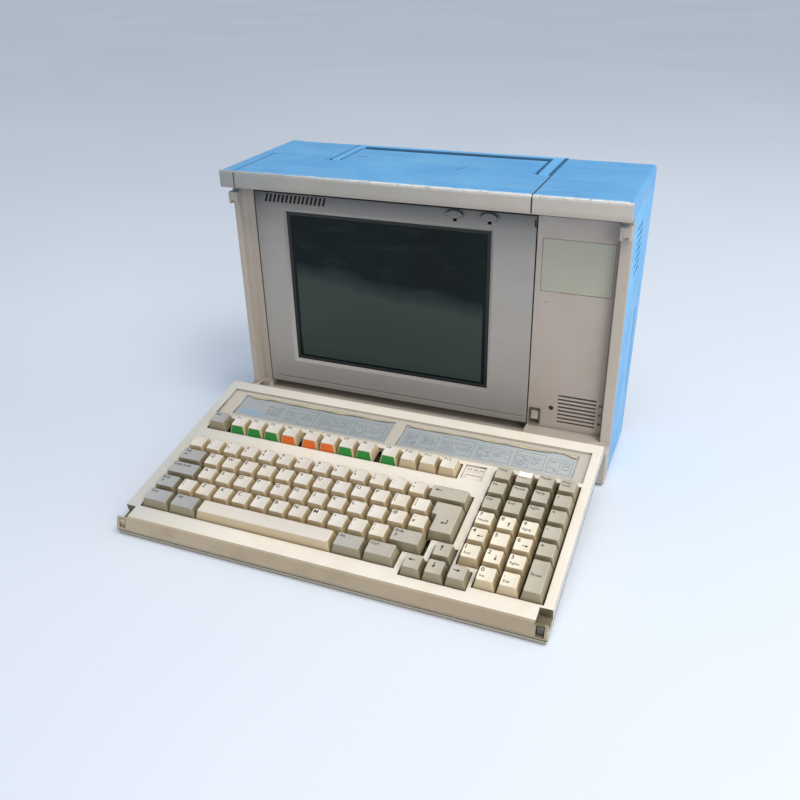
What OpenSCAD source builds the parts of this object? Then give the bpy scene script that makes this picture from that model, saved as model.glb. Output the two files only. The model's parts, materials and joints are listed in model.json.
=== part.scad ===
// Luggable computer: a tower with a built-in flat display, whose keyboard
// folds up on two hinges as its front cover, and a bail handle on top.
// +X is to the operator's right, +Y to the rear, +Z up, millimetres.

/* [Tower] */
// Overall width of the tower
tower_w = 396; // [390:2:404]
// Height of the tower from the table to the top
tower_h = 277; // [277:1:285]
// Depth of the tower behind its front posts, at the top
tower_d = 127; // [125:1:132]
// How much shallower the tower is at the bottom than at the top
rear_taper = 37.6; // [30:0.1:40]
// Height of the visor's front face
visor_h = 16.5; // [16:0.5:18]
// How far the visor and the ledge stand out in front of the posts
visor_out = 20; // [20:0.5:21]
// Wall thickness of the side covers
wall = 3; // [2.5:0.5:3]

/* [Keyboard] */
// Width of the keyboard
kb_w = 395; // [389:1:395]
// Length of the keyboard from its front edge to its rear edge
kb_l = 215; // [214:0.5:215.5]
// Thickness of the keyboard housing without the keys
kb_t = 18.5; // [18:0.5:18.5]
// Pitch of the keys
pitch = 19.05; // [18.9:0.05:19.1]
// How far the key tops stand above the housing
key_up = 8; // [6:0.5:8.5]
// Gap between neighbouring keys at their base
key_gap = 0.9; // [0.8:0.1:1.4]

/* [Display] */
// Width of the window in the bezel
win_w = 215; // [205:1:216]
// Height of the window in the bezel
win_h = 163; // [155:1:164]

/* [Hinges] */
// Radius of the keyboard hinge barrels
barrel_r = 5; // [4.5:0.1:5]
// Radius of the hinge pins
pin_r = 2.5; // [2:0.1:2.6]
// Radial play of a pin in a turning part
play = 0.05; // [0.03:0.01:0.08]

/* [Hidden] */
$fn = 48;
hw = tower_w / 2;
kw = kb_w / 2;
z_lip = tower_h - visor_h;          // underside of the visor
foot_h = 3;
rear_y0 = tower_d - rear_taper;     // rear face at the base
lean = atan(rear_taper / (tower_h - foot_h));
function rear_y(z) = rear_y0 + (z - foot_h) * tan(lean);
// keyboard hinge axis, seen in the tower
hinge_y = -visor_out - 5;
hinge_z = 35;
// the same axis, seen in the keyboard: behind its rear edge, below its base
ax_s = kb_l + 9.4;
ax_h = -5;
// tilt at which the front edge of the keyboard rests on the table
tilt = asin(hinge_z / sqrt(ax_s * ax_s + ax_h * ax_h)) + atan(-ax_h / ax_s);
kb_y0 = hinge_y - ax_s * cos(tilt) + ax_h * sin(tilt);
kb_z0 = hinge_z - ax_s * sin(tilt) - ax_h * cos(tilt);
// the origin lies under the middle of the whole object
oy = 59.4;
panel_y = 11;                       // front plane of bezel and control panel
div_x = 112;                        // gap between display and control panel
seam_l = -182;                      // seams in the top
seam_r = 113;
handle_l = -113;
handle_r = 109.5;
piv_y = 59;
piv_z = tower_h - 5.8;
disp_y = 18;                        // display hinge axis
disp_z = 42;
kx = -182.85;                       // left edge of the main key block
nx = 112.3;                         // left edge of the number pad
k0 = 32.1;                          // centre of the front key row
win_cx = -38.8;
win_cz = 149.9;

// ---------- helpers ----------
module tf() translate([0, oy, 0]) children();
module kf() translate([0, oy + kb_y0, kb_z0]) rotate([tilt, 0, 0]) children();
module rf() translate([0, oy + rear_y0, foot_h]) rotate([-lean, 0, 0]) children();
module bx(x0, x1, y0, y1, z0, z1)
  translate([x0, y0, z0]) cube([x1 - x0, y1 - y0, z1 - z0]);
// a profile drawn in y and z, extruded from x0 to x1
module px(x0, x1) translate([x0, 0, 0]) rotate([90, 0, 90])
  linear_extrude(height = x1 - x0) children();
// a profile drawn in x and z, extruded from y0 to y1
module py(y0, y1) translate([0, y1, 0]) rotate([90, 0, 0])
  linear_extrude(height = y1 - y0) children();
module rodx(x0, x1, y, z, r) translate([x0, y, z]) rotate([0, 90, 0])
  cylinder(r = r, h = x1 - x0);
module rody(x, z, y0, y1, r) translate([x, y1, z]) rotate([90, 0, 0])
  cylinder(r = r, h = y1 - y0);
// rectangle with round corners
module rr(x0, y0, x1, y1, r) union() {
  translate([x0 + r, y0]) square([x1 - x0 - 2 * r, y1 - y0]);
  translate([x0, y0 + r]) square([x1 - x0, y1 - y0 - 2 * r]);
  for (x = [x0 + r, x1 - r], y = [y0 + r, y1 - r])
    translate([x, y]) circle(r = r);
}
module mir() { children(); mirror([1, 0, 0]) children(); }

// ---------- tower ----------
module base_pan() color([0.70, 0.68, 0.62]) tf() difference() {
  bx(-hw + 3, hw - 3, -17, rear_y0 - 1.4, 3, 20);
  bx(-hw + 6, hw - 6, -14, rear_y0 - 4.4, 6, 21);
  for (x = [-150:20:150]) bx(x, x + 8, 10, 60, 2, 7);
}

ear_x = [-130, 130];
module front_frame() color([0.74, 0.72, 0.68]) tf() difference() {
  union() {
    // ledge
    difference() {
      bx(-hw, hw, -visor_out, 16, 3, 37);
      bx(-hw + 3, hw - 3, -visor_out + 3, 17, 2, 34);
      bx(-hw - 1, -hw + 3, 3, 17, 2, 38);
      bx(hw - 3, hw + 1, 3, 17, 2, 38);
    }
    // trough under the display
    bx(-192, div_x + 3, -8, 33, 25, 36.5);
    // pockets behind the keyboard hinges
    for (x = ear_x) bx(x - 18, x + 18, -visor_out + 1, -9, 24, 36.5);
    // posts
    translate([0, 0, 34]) linear_extrude(height = z_lip - 34)
      polygon([[187.8, 0], [hw, 0], [hw, 3], [hw - 3, 3], [hw - 3, 16],
        [186, 16], [186, 11]]);
    translate([0, 0, 34]) linear_extrude(height = z_lip - 34)
      polygon([[-192, 0], [-190, 11], [-181.2, 11], [-181.2, 16],
        [-hw + 3, 16], [-hw + 3, 3], [-hw, 3], [-hw, 0]]);
    // beam behind the visor
    bx(-191, 187, panel_y, 16, 251.4, z_lip);
    // rib between display and control panel
    bx(div_x + 0.6, div_x + 3.1, 14.2, 31, 25, z_lip - 1);
    // hinge boss for the display
    bx(-190, -182, 12, 26, 26, 50);
    // keyboard hinge barrels
    for (x = ear_x, d = [-27, 16.4]) px(x + d, x + d + 10.6) union() {
      translate([hinge_y, hinge_z]) circle(r = barrel_r);
      translate([hinge_y, hinge_z - barrel_r]) square([7, 6.5]);
    }
  }
  // trough
  bx(-181.1, div_x + 0.4, -5, 40, 28, 38);
  bx(-189, -181, -5, 10.9, 28, 38);
  // pockets of the hinge ears
  for (x = ear_x) bx(x - 16, x + 16, -visor_out - 1, -11, 27, 38);
  // bores
  for (x = ear_x) rodx(x - 40, x + 40, hinge_y, hinge_z, pin_r + 0.01);
  rodx(-191, -181, disp_y, disp_z, pin_r + 0.01);
  rodx(div_x, div_x + 6, disp_y, disp_z, pin_r + 0.01);
}

module side_profile() polygon([[3, foot_h], [rear_y0, foot_h],
  [rear_y(z_lip), z_lip], [3, z_lip]]);
module side_cover_left() color([0.36, 0.66, 0.90]) tf() difference() {
  px(-hw, -hw + wall) side_profile();
  // air outlet in front of the fan
  for (i = [0:8]) bx(-hw - 1, -hw + wall + 1, 58, 106, 181 + i * 6, 184 + i * 6);
}
module side_cover_right() color([0.36, 0.66, 0.90]) tf() difference() {
  px(hw - wall, hw) side_profile();
  bx(hw - wall - 1, hw + 1, 75, 79.5, 57, 150);
  bx(hw - wall - 1, hw + 1, 74, 80.4, 154.6, 163.4);
  for (i = [0:6]) bx(hw - wall - 1, hw + 1, 30, 62, 196 + i * 7, 199 + i * 7);
}

module top_shell(x0, x1) difference() {
  bx(x0, x1, -visor_out + 1.5, tower_d, z_lip, tower_h);
  bx(x0 + 2.5, x1 - 2.5, -visor_out + 4.5, tower_d - 3, z_lip + 2.5, tower_h - 3);
  bx(x0 + 2.5, x1 - 2.5, 16.5, tower_d - 6, z_lip - 1, z_lip + 3);
}
module top_cover_left() color([0.40, 0.70, 0.92]) tf() top_shell(-hw, seam_l - 0.4);
module top_cover_right() color([0.40, 0.70, 0.92]) tf() top_shell(seam_r + 0.4, hw);
module top_cover_middle() color([0.40, 0.70, 0.92]) tf() difference() {
  union() {
    top_shell(seam_l + 0.4, seam_r - 0.4);
    difference() {
      bx(handle_l - 3, seam_r - 0.4, 50, tower_d, z_lip + 1.6, tower_h - 0.1);
      bx(handle_l + 14, handle_r - 14, 56, 104, z_lip, tower_h - 3);
    }
  }
  // recess of the handle
  bx(handle_l - 0.6, handle_l + 10.6, piv_y - 7.6, tower_d + 1, tower_h - 12.5, tower_h + 1);
  bx(handle_r - 10.6, handle_r + 0.6, piv_y - 7.6, tower_d + 1, tower_h - 12.5, tower_h + 1);
  bx(handle_l - 0.6, handle_r + 0.6, 107, tower_d + 1, tower_h - 12.5, tower_h + 1);
  // bores of the handle pins
  rodx(handle_l - 4, handle_l, piv_y, piv_z, pin_r + 0.01);
  rodx(handle_r, seam_r + 1, piv_y, piv_z, pin_r + 0.01);
}
module visor_trim() color([0.76, 0.74, 0.70]) tf() {
  bx(-hw, seam_l - 0.4, -visor_out, -visor_out + 1.5, z_lip, tower_h);
  bx(seam_l + 0.4, seam_r - 0.4, -visor_out, -visor_out + 1.5, z_lip, tower_h);
  bx(seam_r + 0.4, hw, -visor_out, -visor_out + 1.5, z_lip, tower_h);
}

// rear face: places are x and the height along the slope
module rear_panel() color([0.62, 0.62, 0.60]) rf() difference() {
  bx(-hw + wall, hw - wall, -1.2, 0, 0.4, 259.4);
  bx(-170, -142, -2, 1, 30, 50);
  for (p = [[-20, 47], [45, 18], [80, 18]])
    bx(p[0] - p[1] / 2, p[0] + p[1] / 2, -2, 1, 34, 45);
  rody(120, 36, -2, 1, 8);
  for (i = [0:15]) bx(-80 + i * 11, -75 + i * 11, -2, 1, 170, 225);
  for (x = [-185, 0, 185], z = [8, 250]) rody(x, z, -2, 1, 1.6);
}
module rear_connectors() color([0.30, 0.30, 0.32]) rf() {
  for (p = [[-20, 47], [45, 18], [80, 18]]) {
    bx(p[0] - p[1] / 2 - 4, p[0] + p[1] / 2 + 4, -11, -1.2, 32, 47);
    difference() {
      bx(p[0] - p[1] / 2 + 0.1, p[0] + p[1] / 2 - 0.1, -1.4, 2.5, 34.1, 44.9);
      bx(p[0] - p[1] / 2 + 1.5, p[0] + p[1] / 2 - 1.5, -1, 3, 35.5, 43.5);
    }
  }
  rody(120, 36, -12, -1.2, 9.5);
  difference() {
    rody(120, 36, -2, 1.5, 7.9);
    rody(120, 36, -1, 2, 6);
  }
}
module power_inlet() color([0.12, 0.12, 0.12]) rf() {
  difference() {
    bx(-169.9, -142.1, -22, 1.6, 30.1, 49.9);
    bx(-167.4, -144.6, -14, 2, 32.6, 47.4);
  }
  for (x = [-162.5, -156, -149.5]) bx(x - 1, x + 1, -15, -2, 37, 43);
}
module rear_screws() color([0.55, 0.55, 0.56]) rf()
  for (x = [-185, 0, 185], z = [8, 250]) {
    rody(x, z, 0, 1.8, 3);
    rody(x, z, -1.3, 0.1, 1.59);
  }

sw_x = 120.2;
sw_z = 48.5;
module control_panel() color([0.72, 0.70, 0.68]) tf() difference() {
  bx(div_x + 0.8, 185.8, panel_y, panel_y + 3, 37.2, 251.2);
  // badge recess
  bx(118, 184, panel_y - 1, panel_y + 1.2, 180.5, 231);
  // loudspeaker slots
  for (i = [0:7]) bx(142.5, 179.5, panel_y - 1, panel_y + 4, 44.6 + i * 4.1, 46.4 + i * 4.1);
  // lamp
  rody(136, 59.5, panel_y - 1, panel_y + 4, 2.5);
  // rocker
  bx(sw_x - 5, sw_x + 5, panel_y - 1, panel_y + 4, sw_z - 8.2, sw_z + 8.2);
  // three notches at the right edge
  for (z = [48.5, 58.5, 68.5]) bx(182.6, 187, panel_y - 1, panel_y + 2, z, z + 2.6);
  rody(124.3, 170, panel_y - 1, panel_y + 1, 0.7);
}
module badge_plate() color([0.72, 0.74, 0.70]) tf()
  bx(118.3, 183.7, panel_y + 0.3, panel_y + 1.2, 180.8, 230.7);
module switch_frame() color([0.08, 0.08, 0.08]) tf() difference() {
  union() {
    bx(sw_x - 5.6, sw_x + 5.6, panel_y - 1, panel_y, sw_z - 8.8, sw_z + 8.8);
    bx(sw_x - 4.9, sw_x + 4.9, panel_y - 0.1, 26, sw_z - 8.1, sw_z + 8.1);
  }
  bx(sw_x - 3.9, sw_x + 3.9, 8, 24, sw_z - 7.3, sw_z + 7.3);
}
module power_rocker() color([0.75, 0.73, 0.68]) tf()
  px(sw_x - 3.6, sw_x + 3.6) intersection() {
    translate([16, sw_z]) circle(r = 6.9);
    polygon([[8.6, sw_z - 6.9], [10.6, sw_z + 0.5], [10.2, sw_z + 6.9],
      [20, sw_z + 6.9], [20, sw_z - 6.9]]);
  }
module status_led() color([0.20, 0.32, 0.16]) tf() {
  rody(136, 59.5, panel_y + 0.2, 19, 2.4);
  rody(136, 59.5, panel_y + 3.05, panel_y + 4.2, 3.4);
}
module speaker() color([0.15, 0.15, 0.15]) tf() difference() {
  union() {
    rody(161, 60, 14.4, 18, 19);
    rody(161, 60, 17.9, 32, 11);
  }
  rody(161, 60, 14, 16.4, 16.5);
}
module keyboard_catches() color([0.66, 0.64, 0.60]) tf() mir() difference() {
  bx(187.6, 197.4, -9, 0, 241, 253);
  bx(190, 195, -9.5, -5.5, 240, 244);
}
module chassis_plate() color([0.70, 0.72, 0.74]) tf() difference() {
  bx(-hw + wall, hw - wall, 36, 37.2, 21, z_lip);
  bx(-165, 100, 35, 38, 60, 235);
}
module motherboard() color([0.10, 0.36, 0.22]) tf() {
  bx(-188, 108, 42, 43.6, 30, 252);
  for (x = [-150, 60], z = [36, 246]) rody(x, z, 37.2, 42, 3);
  for (i = [0:4]) bx(-60 + i * 24, -44 + i * 24, 43.6, 47, 120, 150);
  bx(-60, -30, 43.6, 47.2, 60, 90);
}
module power_supply() color([0.66, 0.68, 0.70]) tf() difference() {
  bx(-190, -95, 50, 84, 57, 150);
  for (i = [0:7]) bx(-96, -94, 56, 78, 66 + i * 9, 70 + i * 9);
}
module hard_disk() color([0.45, 0.47, 0.48]) tf()
  bx(-70, 32, 50, 76, 155, 250);
module floppy_drive() color([0.60, 0.60, 0.58]) tf() difference() {
  bx(48, hw - wall, 64.5, 90, 52, 153);
  bx(100, hw, 75, 79.5, 57, 150);
}
module eject_button() color([0.80, 0.78, 0.72]) tf()
  bx(188, hw, 74.4, 80, 155, 163);
fan_y = 82;
fan_z = 205;
module fan_housing() color([0.14, 0.14, 0.15]) tf() difference() {
  union() {
    difference() {
      bx(-hw + wall, -180, fan_y - 30, fan_y + 30, fan_z - 30, fan_z + 30);
      rodx(-hw, -170, fan_y, fan_z, 28);
    }
    bx(-182, -180, fan_y - 29, fan_y + 29, fan_z - 3, fan_z + 3);
    bx(-182, -180, fan_y - 3, fan_y + 3, fan_z - 29, fan_z + 29);
    rodx(-182, -180, fan_y, fan_z, 12);
    rodx(-191, -181, fan_y, fan_z, 1.5);
  }
}
module fan_rotor() color([0.10, 0.10, 0.10]) tf() difference() {
  union() {
    rodx(-192, -183, fan_y, fan_z, 11);
    for (a = [0:60:300]) translate([-191, fan_y, fan_z]) rotate([a, 0, 0])
      translate([0, 9, 0]) rotate([0, 35, 0]) bx(0, 9, 0, 17, -0.6, 0.6);
  }
  rodx(-193, -182, fan_y, fan_z, 1.55);
}
module tower_feet() color([0.09, 0.09, 0.09]) tf()
  for (x = [-176, 176], y = [-6, rear_y0 - 14]) translate([x, y, 0])
    cylinder(r = 9, h = foot_h);
module keyboard_hinge_pins() color([0.72, 0.72, 0.74]) tf() for (x = ear_x)
  rodx(x - 27.4, x + 27.4, hinge_y, hinge_z, pin_r);
module display_hinge_pins() color([0.72, 0.72, 0.74]) tf() {
  rodx(-190, -172.5, disp_y, disp_z, pin_r);
  rodx(104, div_x + 3, disp_y, disp_z, pin_r);
}
module handle_pins() color([0.72, 0.72, 0.74]) tf() {
  rodx(handle_l - 2.8, handle_l + 7, piv_y, piv_z, pin_r);
  rodx(handle_r - 7, handle_r + 2.8, piv_y, piv_z, pin_r);
}

// ---------- display, hinged at its lower edge ----------
bz0 = -180.2;
bz1 = div_x - 0.4;
module display_bezel() color([0.78, 0.77, 0.75]) tf() difference() {
  union() {
    bx(bz0, bz1, panel_y, panel_y + 3, 37.6, 250.6);
    difference() {
      bx(bz0 + 0.4, bz1 - 0.4, panel_y + 2.9, 22, 38, 250.2);
      bx(bz0 + 2.6, bz1 - 2.6, panel_y, 23, 40.2, 248);
    }
    // bosses of the hinge pins
    for (x = [bz0 + 0.5, bz1 - 6.5])
      rodx(x, x + 6, disp_y, disp_z, 3.9);
  }
  // window, with sloping sides
  hull() {
    bx(win_cx - win_w / 2 - 4, win_cx + win_w / 2 + 4, panel_y - 1, panel_y - 0.9,
      win_cz - win_h / 2 - 4, win_cz + win_h / 2 + 4);
    bx(win_cx - win_w / 2 + 0.6, win_cx + win_w / 2 - 0.6, panel_y + 3.4, panel_y + 3.5,
      win_cz - win_h / 2 + 0.6, win_cz + win_h / 2 - 0.6);
  }
  // slanting air slots
  for (i = [0:14]) py(panel_y - 1, panel_y + 4)
    polygon([[-168.5 + i * 4.6, 241], [-166.3 + i * 4.6, 241],
      [-163.7 + i * 4.6, 249], [-165.9 + i * 4.6, 249]]);
  // groove above the lower edge
  bx(-172, 107, panel_y - 1, panel_y + 0.9, 44, 45.2);
  // stems of the latches
  for (x = [34, 67.5]) bx(x - 1.7, x + 1.7, panel_y - 1, panel_y + 4, 238.6, 247.6);
  // finger notch
  bx(bz1 - 2, bz1 + 1, panel_y - 1, panel_y + 2, 240, 247);
  rodx(bz0 - 1, bz0 + 8, disp_y, disp_z, pin_r + play);
  rodx(bz1 - 8, bz1 + 1, disp_y, disp_z, pin_r + play);
}
module display_back() color([0.70, 0.69, 0.66]) tf() difference() {
  bx(bz0 + 1, bz1 - 1, 22.1, 31, 40.2, 249.6);
  bx(bz0 + 3, bz1 - 3, 22, 29, 42.2, 247.6);
  for (i = [0:10]) bx(-150 + i * 20, -140 + i * 20, 28, 32, 70, 73);
}
module lcd_panel() color([0.20, 0.24, 0.24]) tf() {
  bx(-155, 77, 16.8, 24, 60, 240);
  for (x = [-154, 68], z = [62, 232]) bx(x, x + 8, 24, 29, z, z + 6);
}
module screen_glass() color([0.04, 0.09, 0.08]) tf()
  bx(-151, 73.4, 14.2, 16.6, 64, 236);
module latch(x) tf() {
  py(panel_y - 2.2, panel_y - 0.2) intersection() {
    translate([x, 245.6 - 6.6]) circle(r = 10.4);
    translate([x, 245.6 + 6.6]) circle(r = 10.4);
  }
  bx(x - 1.4, x + 1.4, panel_y - 0.4, panel_y + 5, 243.4, 247.2);
}
module display_latch_left() color([0.70, 0.69, 0.66]) latch(34);
module display_latch_right() color([0.70, 0.69, 0.66]) latch(67.5);

// ---------- carrying handle ----------
module carry_handle() color([0.42, 0.72, 0.93]) tf() difference() {
  union() {
    for (x = [handle_l, handle_r - 10]) px(x, x + 10) union() {
      translate([piv_y, piv_z]) circle(r = 5.6);
      translate([piv_y, piv_z - 5.6]) square([62, 11.2]);
    }
    px(handle_l, handle_r) rr(117.4, piv_z - 5.6, tower_d + 2, piv_z + 5.6, 3);
  }
  rodx(handle_l - 1, handle_l + 8, piv_y, piv_z, pin_r + play);
  rodx(handle_r - 8, handle_r + 1, piv_y, piv_z, pin_r + play);
}

// ---------- keyboard, drawn flat: x, distance from the front, height ----------
w_l = -187.5;                       // inner edges of the rim
w_r = 189.2;
d_u = kb_t;                         // top of the rim
d_p = kb_t - 2.5;                   // top of the inner panel
module keyboard_top_shell() color([0.90, 0.88, 0.81]) kf() difference() {
  union() {
    difference() {
      px(-kw, kw) polygon([[0.6, 5.2], [0.4, 8.5], [5.6, d_u - 1], [7.4, d_u],
        [kb_l, d_u], [kb_l, 5.2]]);
      px(-kw + 3, kw - 3) polygon([[3.6, 5], [3.4, 8.5], [8, d_u - 4.4], [9, d_u - 3],
        [kb_l - 3, d_u - 3], [kb_l - 3, 5]]);
    }
    bx(w_l - 2, w_r + 2, 137, 205, 12.8, d_p);
    // blocks around the notches, behind the sloping front
    mir() px(184.4, kw - 1) polygon([[3.4, 7], [3.4, 10.5], [7, d_u - 0.5],
      [22, d_u - 0.5], [22, 7]]);
  }
  // recess of the legend strips
  bx(w_l, w_r, 161, 203, d_p, d_u + 1);
  // openings of the keys
  bx(kx - 0.8, kx + 13.04 * pitch, 22.4, k0 + 0.5 * pitch + 0.2, 3, d_u + 1);
  bx(kx - 0.8, kx + 14.04 * pitch, k0 + 0.5 * pitch, k0 + 1.5 * pitch + 0.2, 3, d_u + 1);
  bx(kx - 0.8, kx + 15.04 * pitch, k0 + 1.5 * pitch, k0 + 4.5 * pitch + 0.4, 3, d_u + 1);
  bx(kx - 0.8, 81, k0 + 5.5 * pitch - 0.4, k0 + 6.5 * pitch + 0.4, 3, d_u + 1);
  bx(nx - 0.6, w_r, k0 + 0.5 * pitch, k0 + 6.5 * pitch + 0.4, 3, d_u + 1);
  bx(nx + pitch - 0.2, w_r, 22.4, k0 + 0.5 * pitch + 0.2, 3, d_u + 1);
  bx(70.8, 71.2 + 3 * pitch - 0.1, 17.4, 17.4 + pitch + 0.6, 3, d_u + 1);
  bx(70.6 + pitch, 71.6 + 2 * pitch, 17.4 + pitch, 17.4 + 2 * pitch + 0.6, 3, d_u + 1);
  // pockets of the legend strips and the indicator
  bx(-172.5, -3, 167, 198.5, d_p - 2, d_u);
  bx(8.5, 178.5, 167, 198.5, d_p - 2, d_u);
  bx(83.6, 103.4, 138.6, 157.6, d_p - 2, d_u + 1);
  // notches for the catches, and the slots of the latch buttons
  mir() bx(187, kw + 1, 6, 20, kb_t - 9.2, d_u + 1);
  mir() bx(188.2, 194.6, -1, 9.6, 7.8, 15.8);
}
module keyboard_pan() color([0.80, 0.78, 0.70]) kf() difference() {
  union() {
    difference() {
      px(-kw + 0.8, kw - 0.8) polygon([[2, 0], [0.8, 1.2], [0.8, 5.1],
        [kb_l - 0.6, 5.1], [kb_l - 0.6, 0]]);
      bx(-kw + 3.4, kw - 3.4, 3.6, kb_l - 3.2, 2.4, 6);
    }
    for (x = [-170, -85, 0, 85, 170], s = [30, 120, 196]) translate([x, s, 2.2])
      cylinder(r = 3.5, h = 3.8);
    for (x = ear_x) px(x - 15, x + 15) union() {
      translate([ax_s, ax_h]) circle(r = barrel_r);
      polygon([[kb_l - 3, 0.1], [kb_l - 3, 4.8], [kb_l + 1.4, 4.8],
        [ax_s + 2.5, ax_h + 4.33], [ax_s - 4.1, ax_h - 2.87]]);
    }
  }
  for (x = ear_x) rodx(x - 16, x + 16, ax_s, ax_h, pin_r + play);
  for (x = [-120:40:120], s = [60, 150]) bx(x - 12, x + 12, s, s + 3, -1, 1);
}
module keyboard_pcb() color([0.12, 0.40, 0.25]) kf() {
  bx(-192, 192, 24, 208, 6, 7.6);
  bx(-182, 182, 26, 163, 7.6, 8);
}
module legend_cards() color([0.62, 0.70, 0.76]) kf() {
  bx(-172, -3.5, 167.6, 198, d_p - 2, d_p - 1.6);
  bx(9, 178, 167.6, 198, d_p - 2, d_p - 1.6);
}
module legend_windows() color([0.80, 0.86, 0.88]) kf() {
  bx(-172.3, -3.2, 167.2, 198.3, d_p - 1.5, d_p - 0.5);
  bx(8.7, 178.3, 167.2, 198.3, d_p - 1.5, d_p - 0.5);
}
module indicator_panel() color([0.78, 0.76, 0.70]) kf() difference() {
  bx(83.8, 103.2, 138.8, 157.4, d_p - 2, d_p + 0.6);
  for (i = [0:2]) bx(86 + i * 5.6, 90 + i * 5.6, 149, 154.6, d_p - 0.4, d_u);
  bx(86, 101.2, 141.4, 146.8, d_p - 0.4, d_u);
}
module keyboard_feet() color([0.09, 0.09, 0.09]) difference() {
  kf() for (x = [-170, 130]) bx(x, x + 40, 4, 18, -4, 0);
  bx(-300, 300, -400, 100, -20, 0);
}
module kb_latch() kf() bx(188.6, 194.2, 2.8, 6, 8.2, 15.4);
module keyboard_latch_right() color([0.20, 0.20, 0.20]) kb_latch();
module keyboard_latch_left() color([0.20, 0.20, 0.20]) mirror([1, 0, 0]) kb_latch();

// a key: centre of its top, width and depth in key units
kt = kb_t + key_up;
kb = kb_t - 3.5;
module cap(x, s, w, d = 1) {
  bw = w * pitch - key_gap;
  bd = d * pitch - key_gap;
  intersection() {
    translate([x, s, 0]) py(-30, 30) polygon([[-bw / 2, kb], [bw / 2, kb],
      [bw / 2, kb + 1.5], [bw / 2 - 2.4, kt], [-bw / 2 + 2.4, kt], [-bw / 2, kb + 1.5]]);
    translate([x, s, 0]) px(-100, 100) polygon([[-bd / 2, kb], [bd / 2, kb],
      [bd / 2, kb + 1.5], [bd / 2 - 1.4, kt], [-bd / 2 + 3, kt], [-bd / 2, kb + 1.5]]);
  }
  translate([x - 2, s - 2, kb - 3.4]) cube([4, 4, 3.5]);
}
// key from a to b units along row r of the main block
module mk(a, b, r, d = 1) cap(kx + (a + b) / 2 * pitch, k0 + (r + (d - 1) / 2) * pitch, b - a, d);
module nk(c, r, d = 1) cap(nx + (c - 0.5) * pitch, k0 + (r + (d - 1) / 2) * pitch, 1, d);
key_white = [0.92, 0.90, 0.84];
key_grey = [0.62, 0.60, 0.54];
module keys_function() color(key_white) kf()
  for (g = [1.3, 5.5, 9.8], i = [0:3]) mk(g + i, g + i + 1, 6);
module keys_digits() color(key_white) kf() for (i = [0:12]) mk(i, i + 1, 4);
module keys_upper() color(key_white) kf() for (i = [0:11]) mk(i + 1.5, i + 2.5, 3);
module keys_home() color(key_white) kf() for (i = [0:11]) mk(i + 1.75, i + 2.75, 2);
module keys_lower() color(key_white) kf() for (i = [0:10]) mk(i + 1.25, i + 2.25, 1);
module keys_modifiers() color(key_grey) kf() {
  mk(0, 1.1, 6);
  mk(0, 1.5, 3);
  mk(0, 1.75, 2);
  mk(0, 1.25, 1);
  mk(12.25, 13.85, 1);
  mk(0, 1.5, 0);
  mk(1.5, 3, 0);
  mk(10, 11.5, 0);
  mk(11.5, 13, 0);
}
module key_backspace() color(key_grey) kf() mk(13, 15, 4);
module key_enter() color(key_grey) kf() intersection() {
  union() {
    mk(13.75, 15, 2, 2);
    mk(13.5, 15, 3);
  }
  bx(-300, 300, -10, 300, -10, kt + 1);
}
module space_bar() color(key_white) kf() mk(3, 10, 0);
module arrow(i, j) cap(71.2 + (i + 0.5) * pitch, 17.6 + (j + 0.5) * pitch, 1);
module keys_arrows() color(key_grey) kf() {
  for (i = [0:2]) arrow(i, 0);
  arrow(1, 1);
}
module keys_numpad() color(key_white) kf() {
  for (c = [1:3], r = [1:3]) nk(c, r);
  nk(2, 0);
  nk(3, 0);
}
module keys_navigation() color(key_grey) kf() {
  for (c = [1:4], r = [4:6]) nk(c, r);
  nk(4, 3);
  nk(4, 2);
}
module key_numpad_enter() color(key_grey) kf() nk(4, 0, 2);

base_pan();
front_frame();
side_cover_left();
side_cover_right();
top_cover_left();
top_cover_middle();
top_cover_right();
visor_trim();
rear_panel();
rear_connectors();
power_inlet();
control_panel();
badge_plate();
switch_frame();
status_led();
speaker();
keyboard_catches();
chassis_plate();
motherboard();
power_supply();
hard_disk();
floppy_drive();
fan_housing();
tower_feet();
rear_screws();
keyboard_hinge_pins();
display_hinge_pins();
handle_pins();
display_bezel();
display_back();
lcd_panel();
screen_glass();
display_latch_left();
display_latch_right();
carry_handle();
power_rocker();
fan_rotor();
eject_button();
keyboard_top_shell();
keyboard_pan();
keyboard_pcb();
legend_cards();
legend_windows();
indicator_panel();
keyboard_feet();
keyboard_latch_left();
keyboard_latch_right();
keys_function();
keys_digits();
keys_upper();
keys_home();
keys_lower();
keys_modifiers();
key_backspace();
key_enter();
space_bar();
keys_arrows();
keys_numpad();
keys_navigation();
key_numpad_enter();
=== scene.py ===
# Looks for a luggable computer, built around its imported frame.
# The helpers T and K place points given in millimetres: T in the tower,
# K in the keyboard (x, distance from the front edge, height above its base).
import json
import math
import bmesh
import bpy
from mathutils import Matrix, Vector

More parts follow.
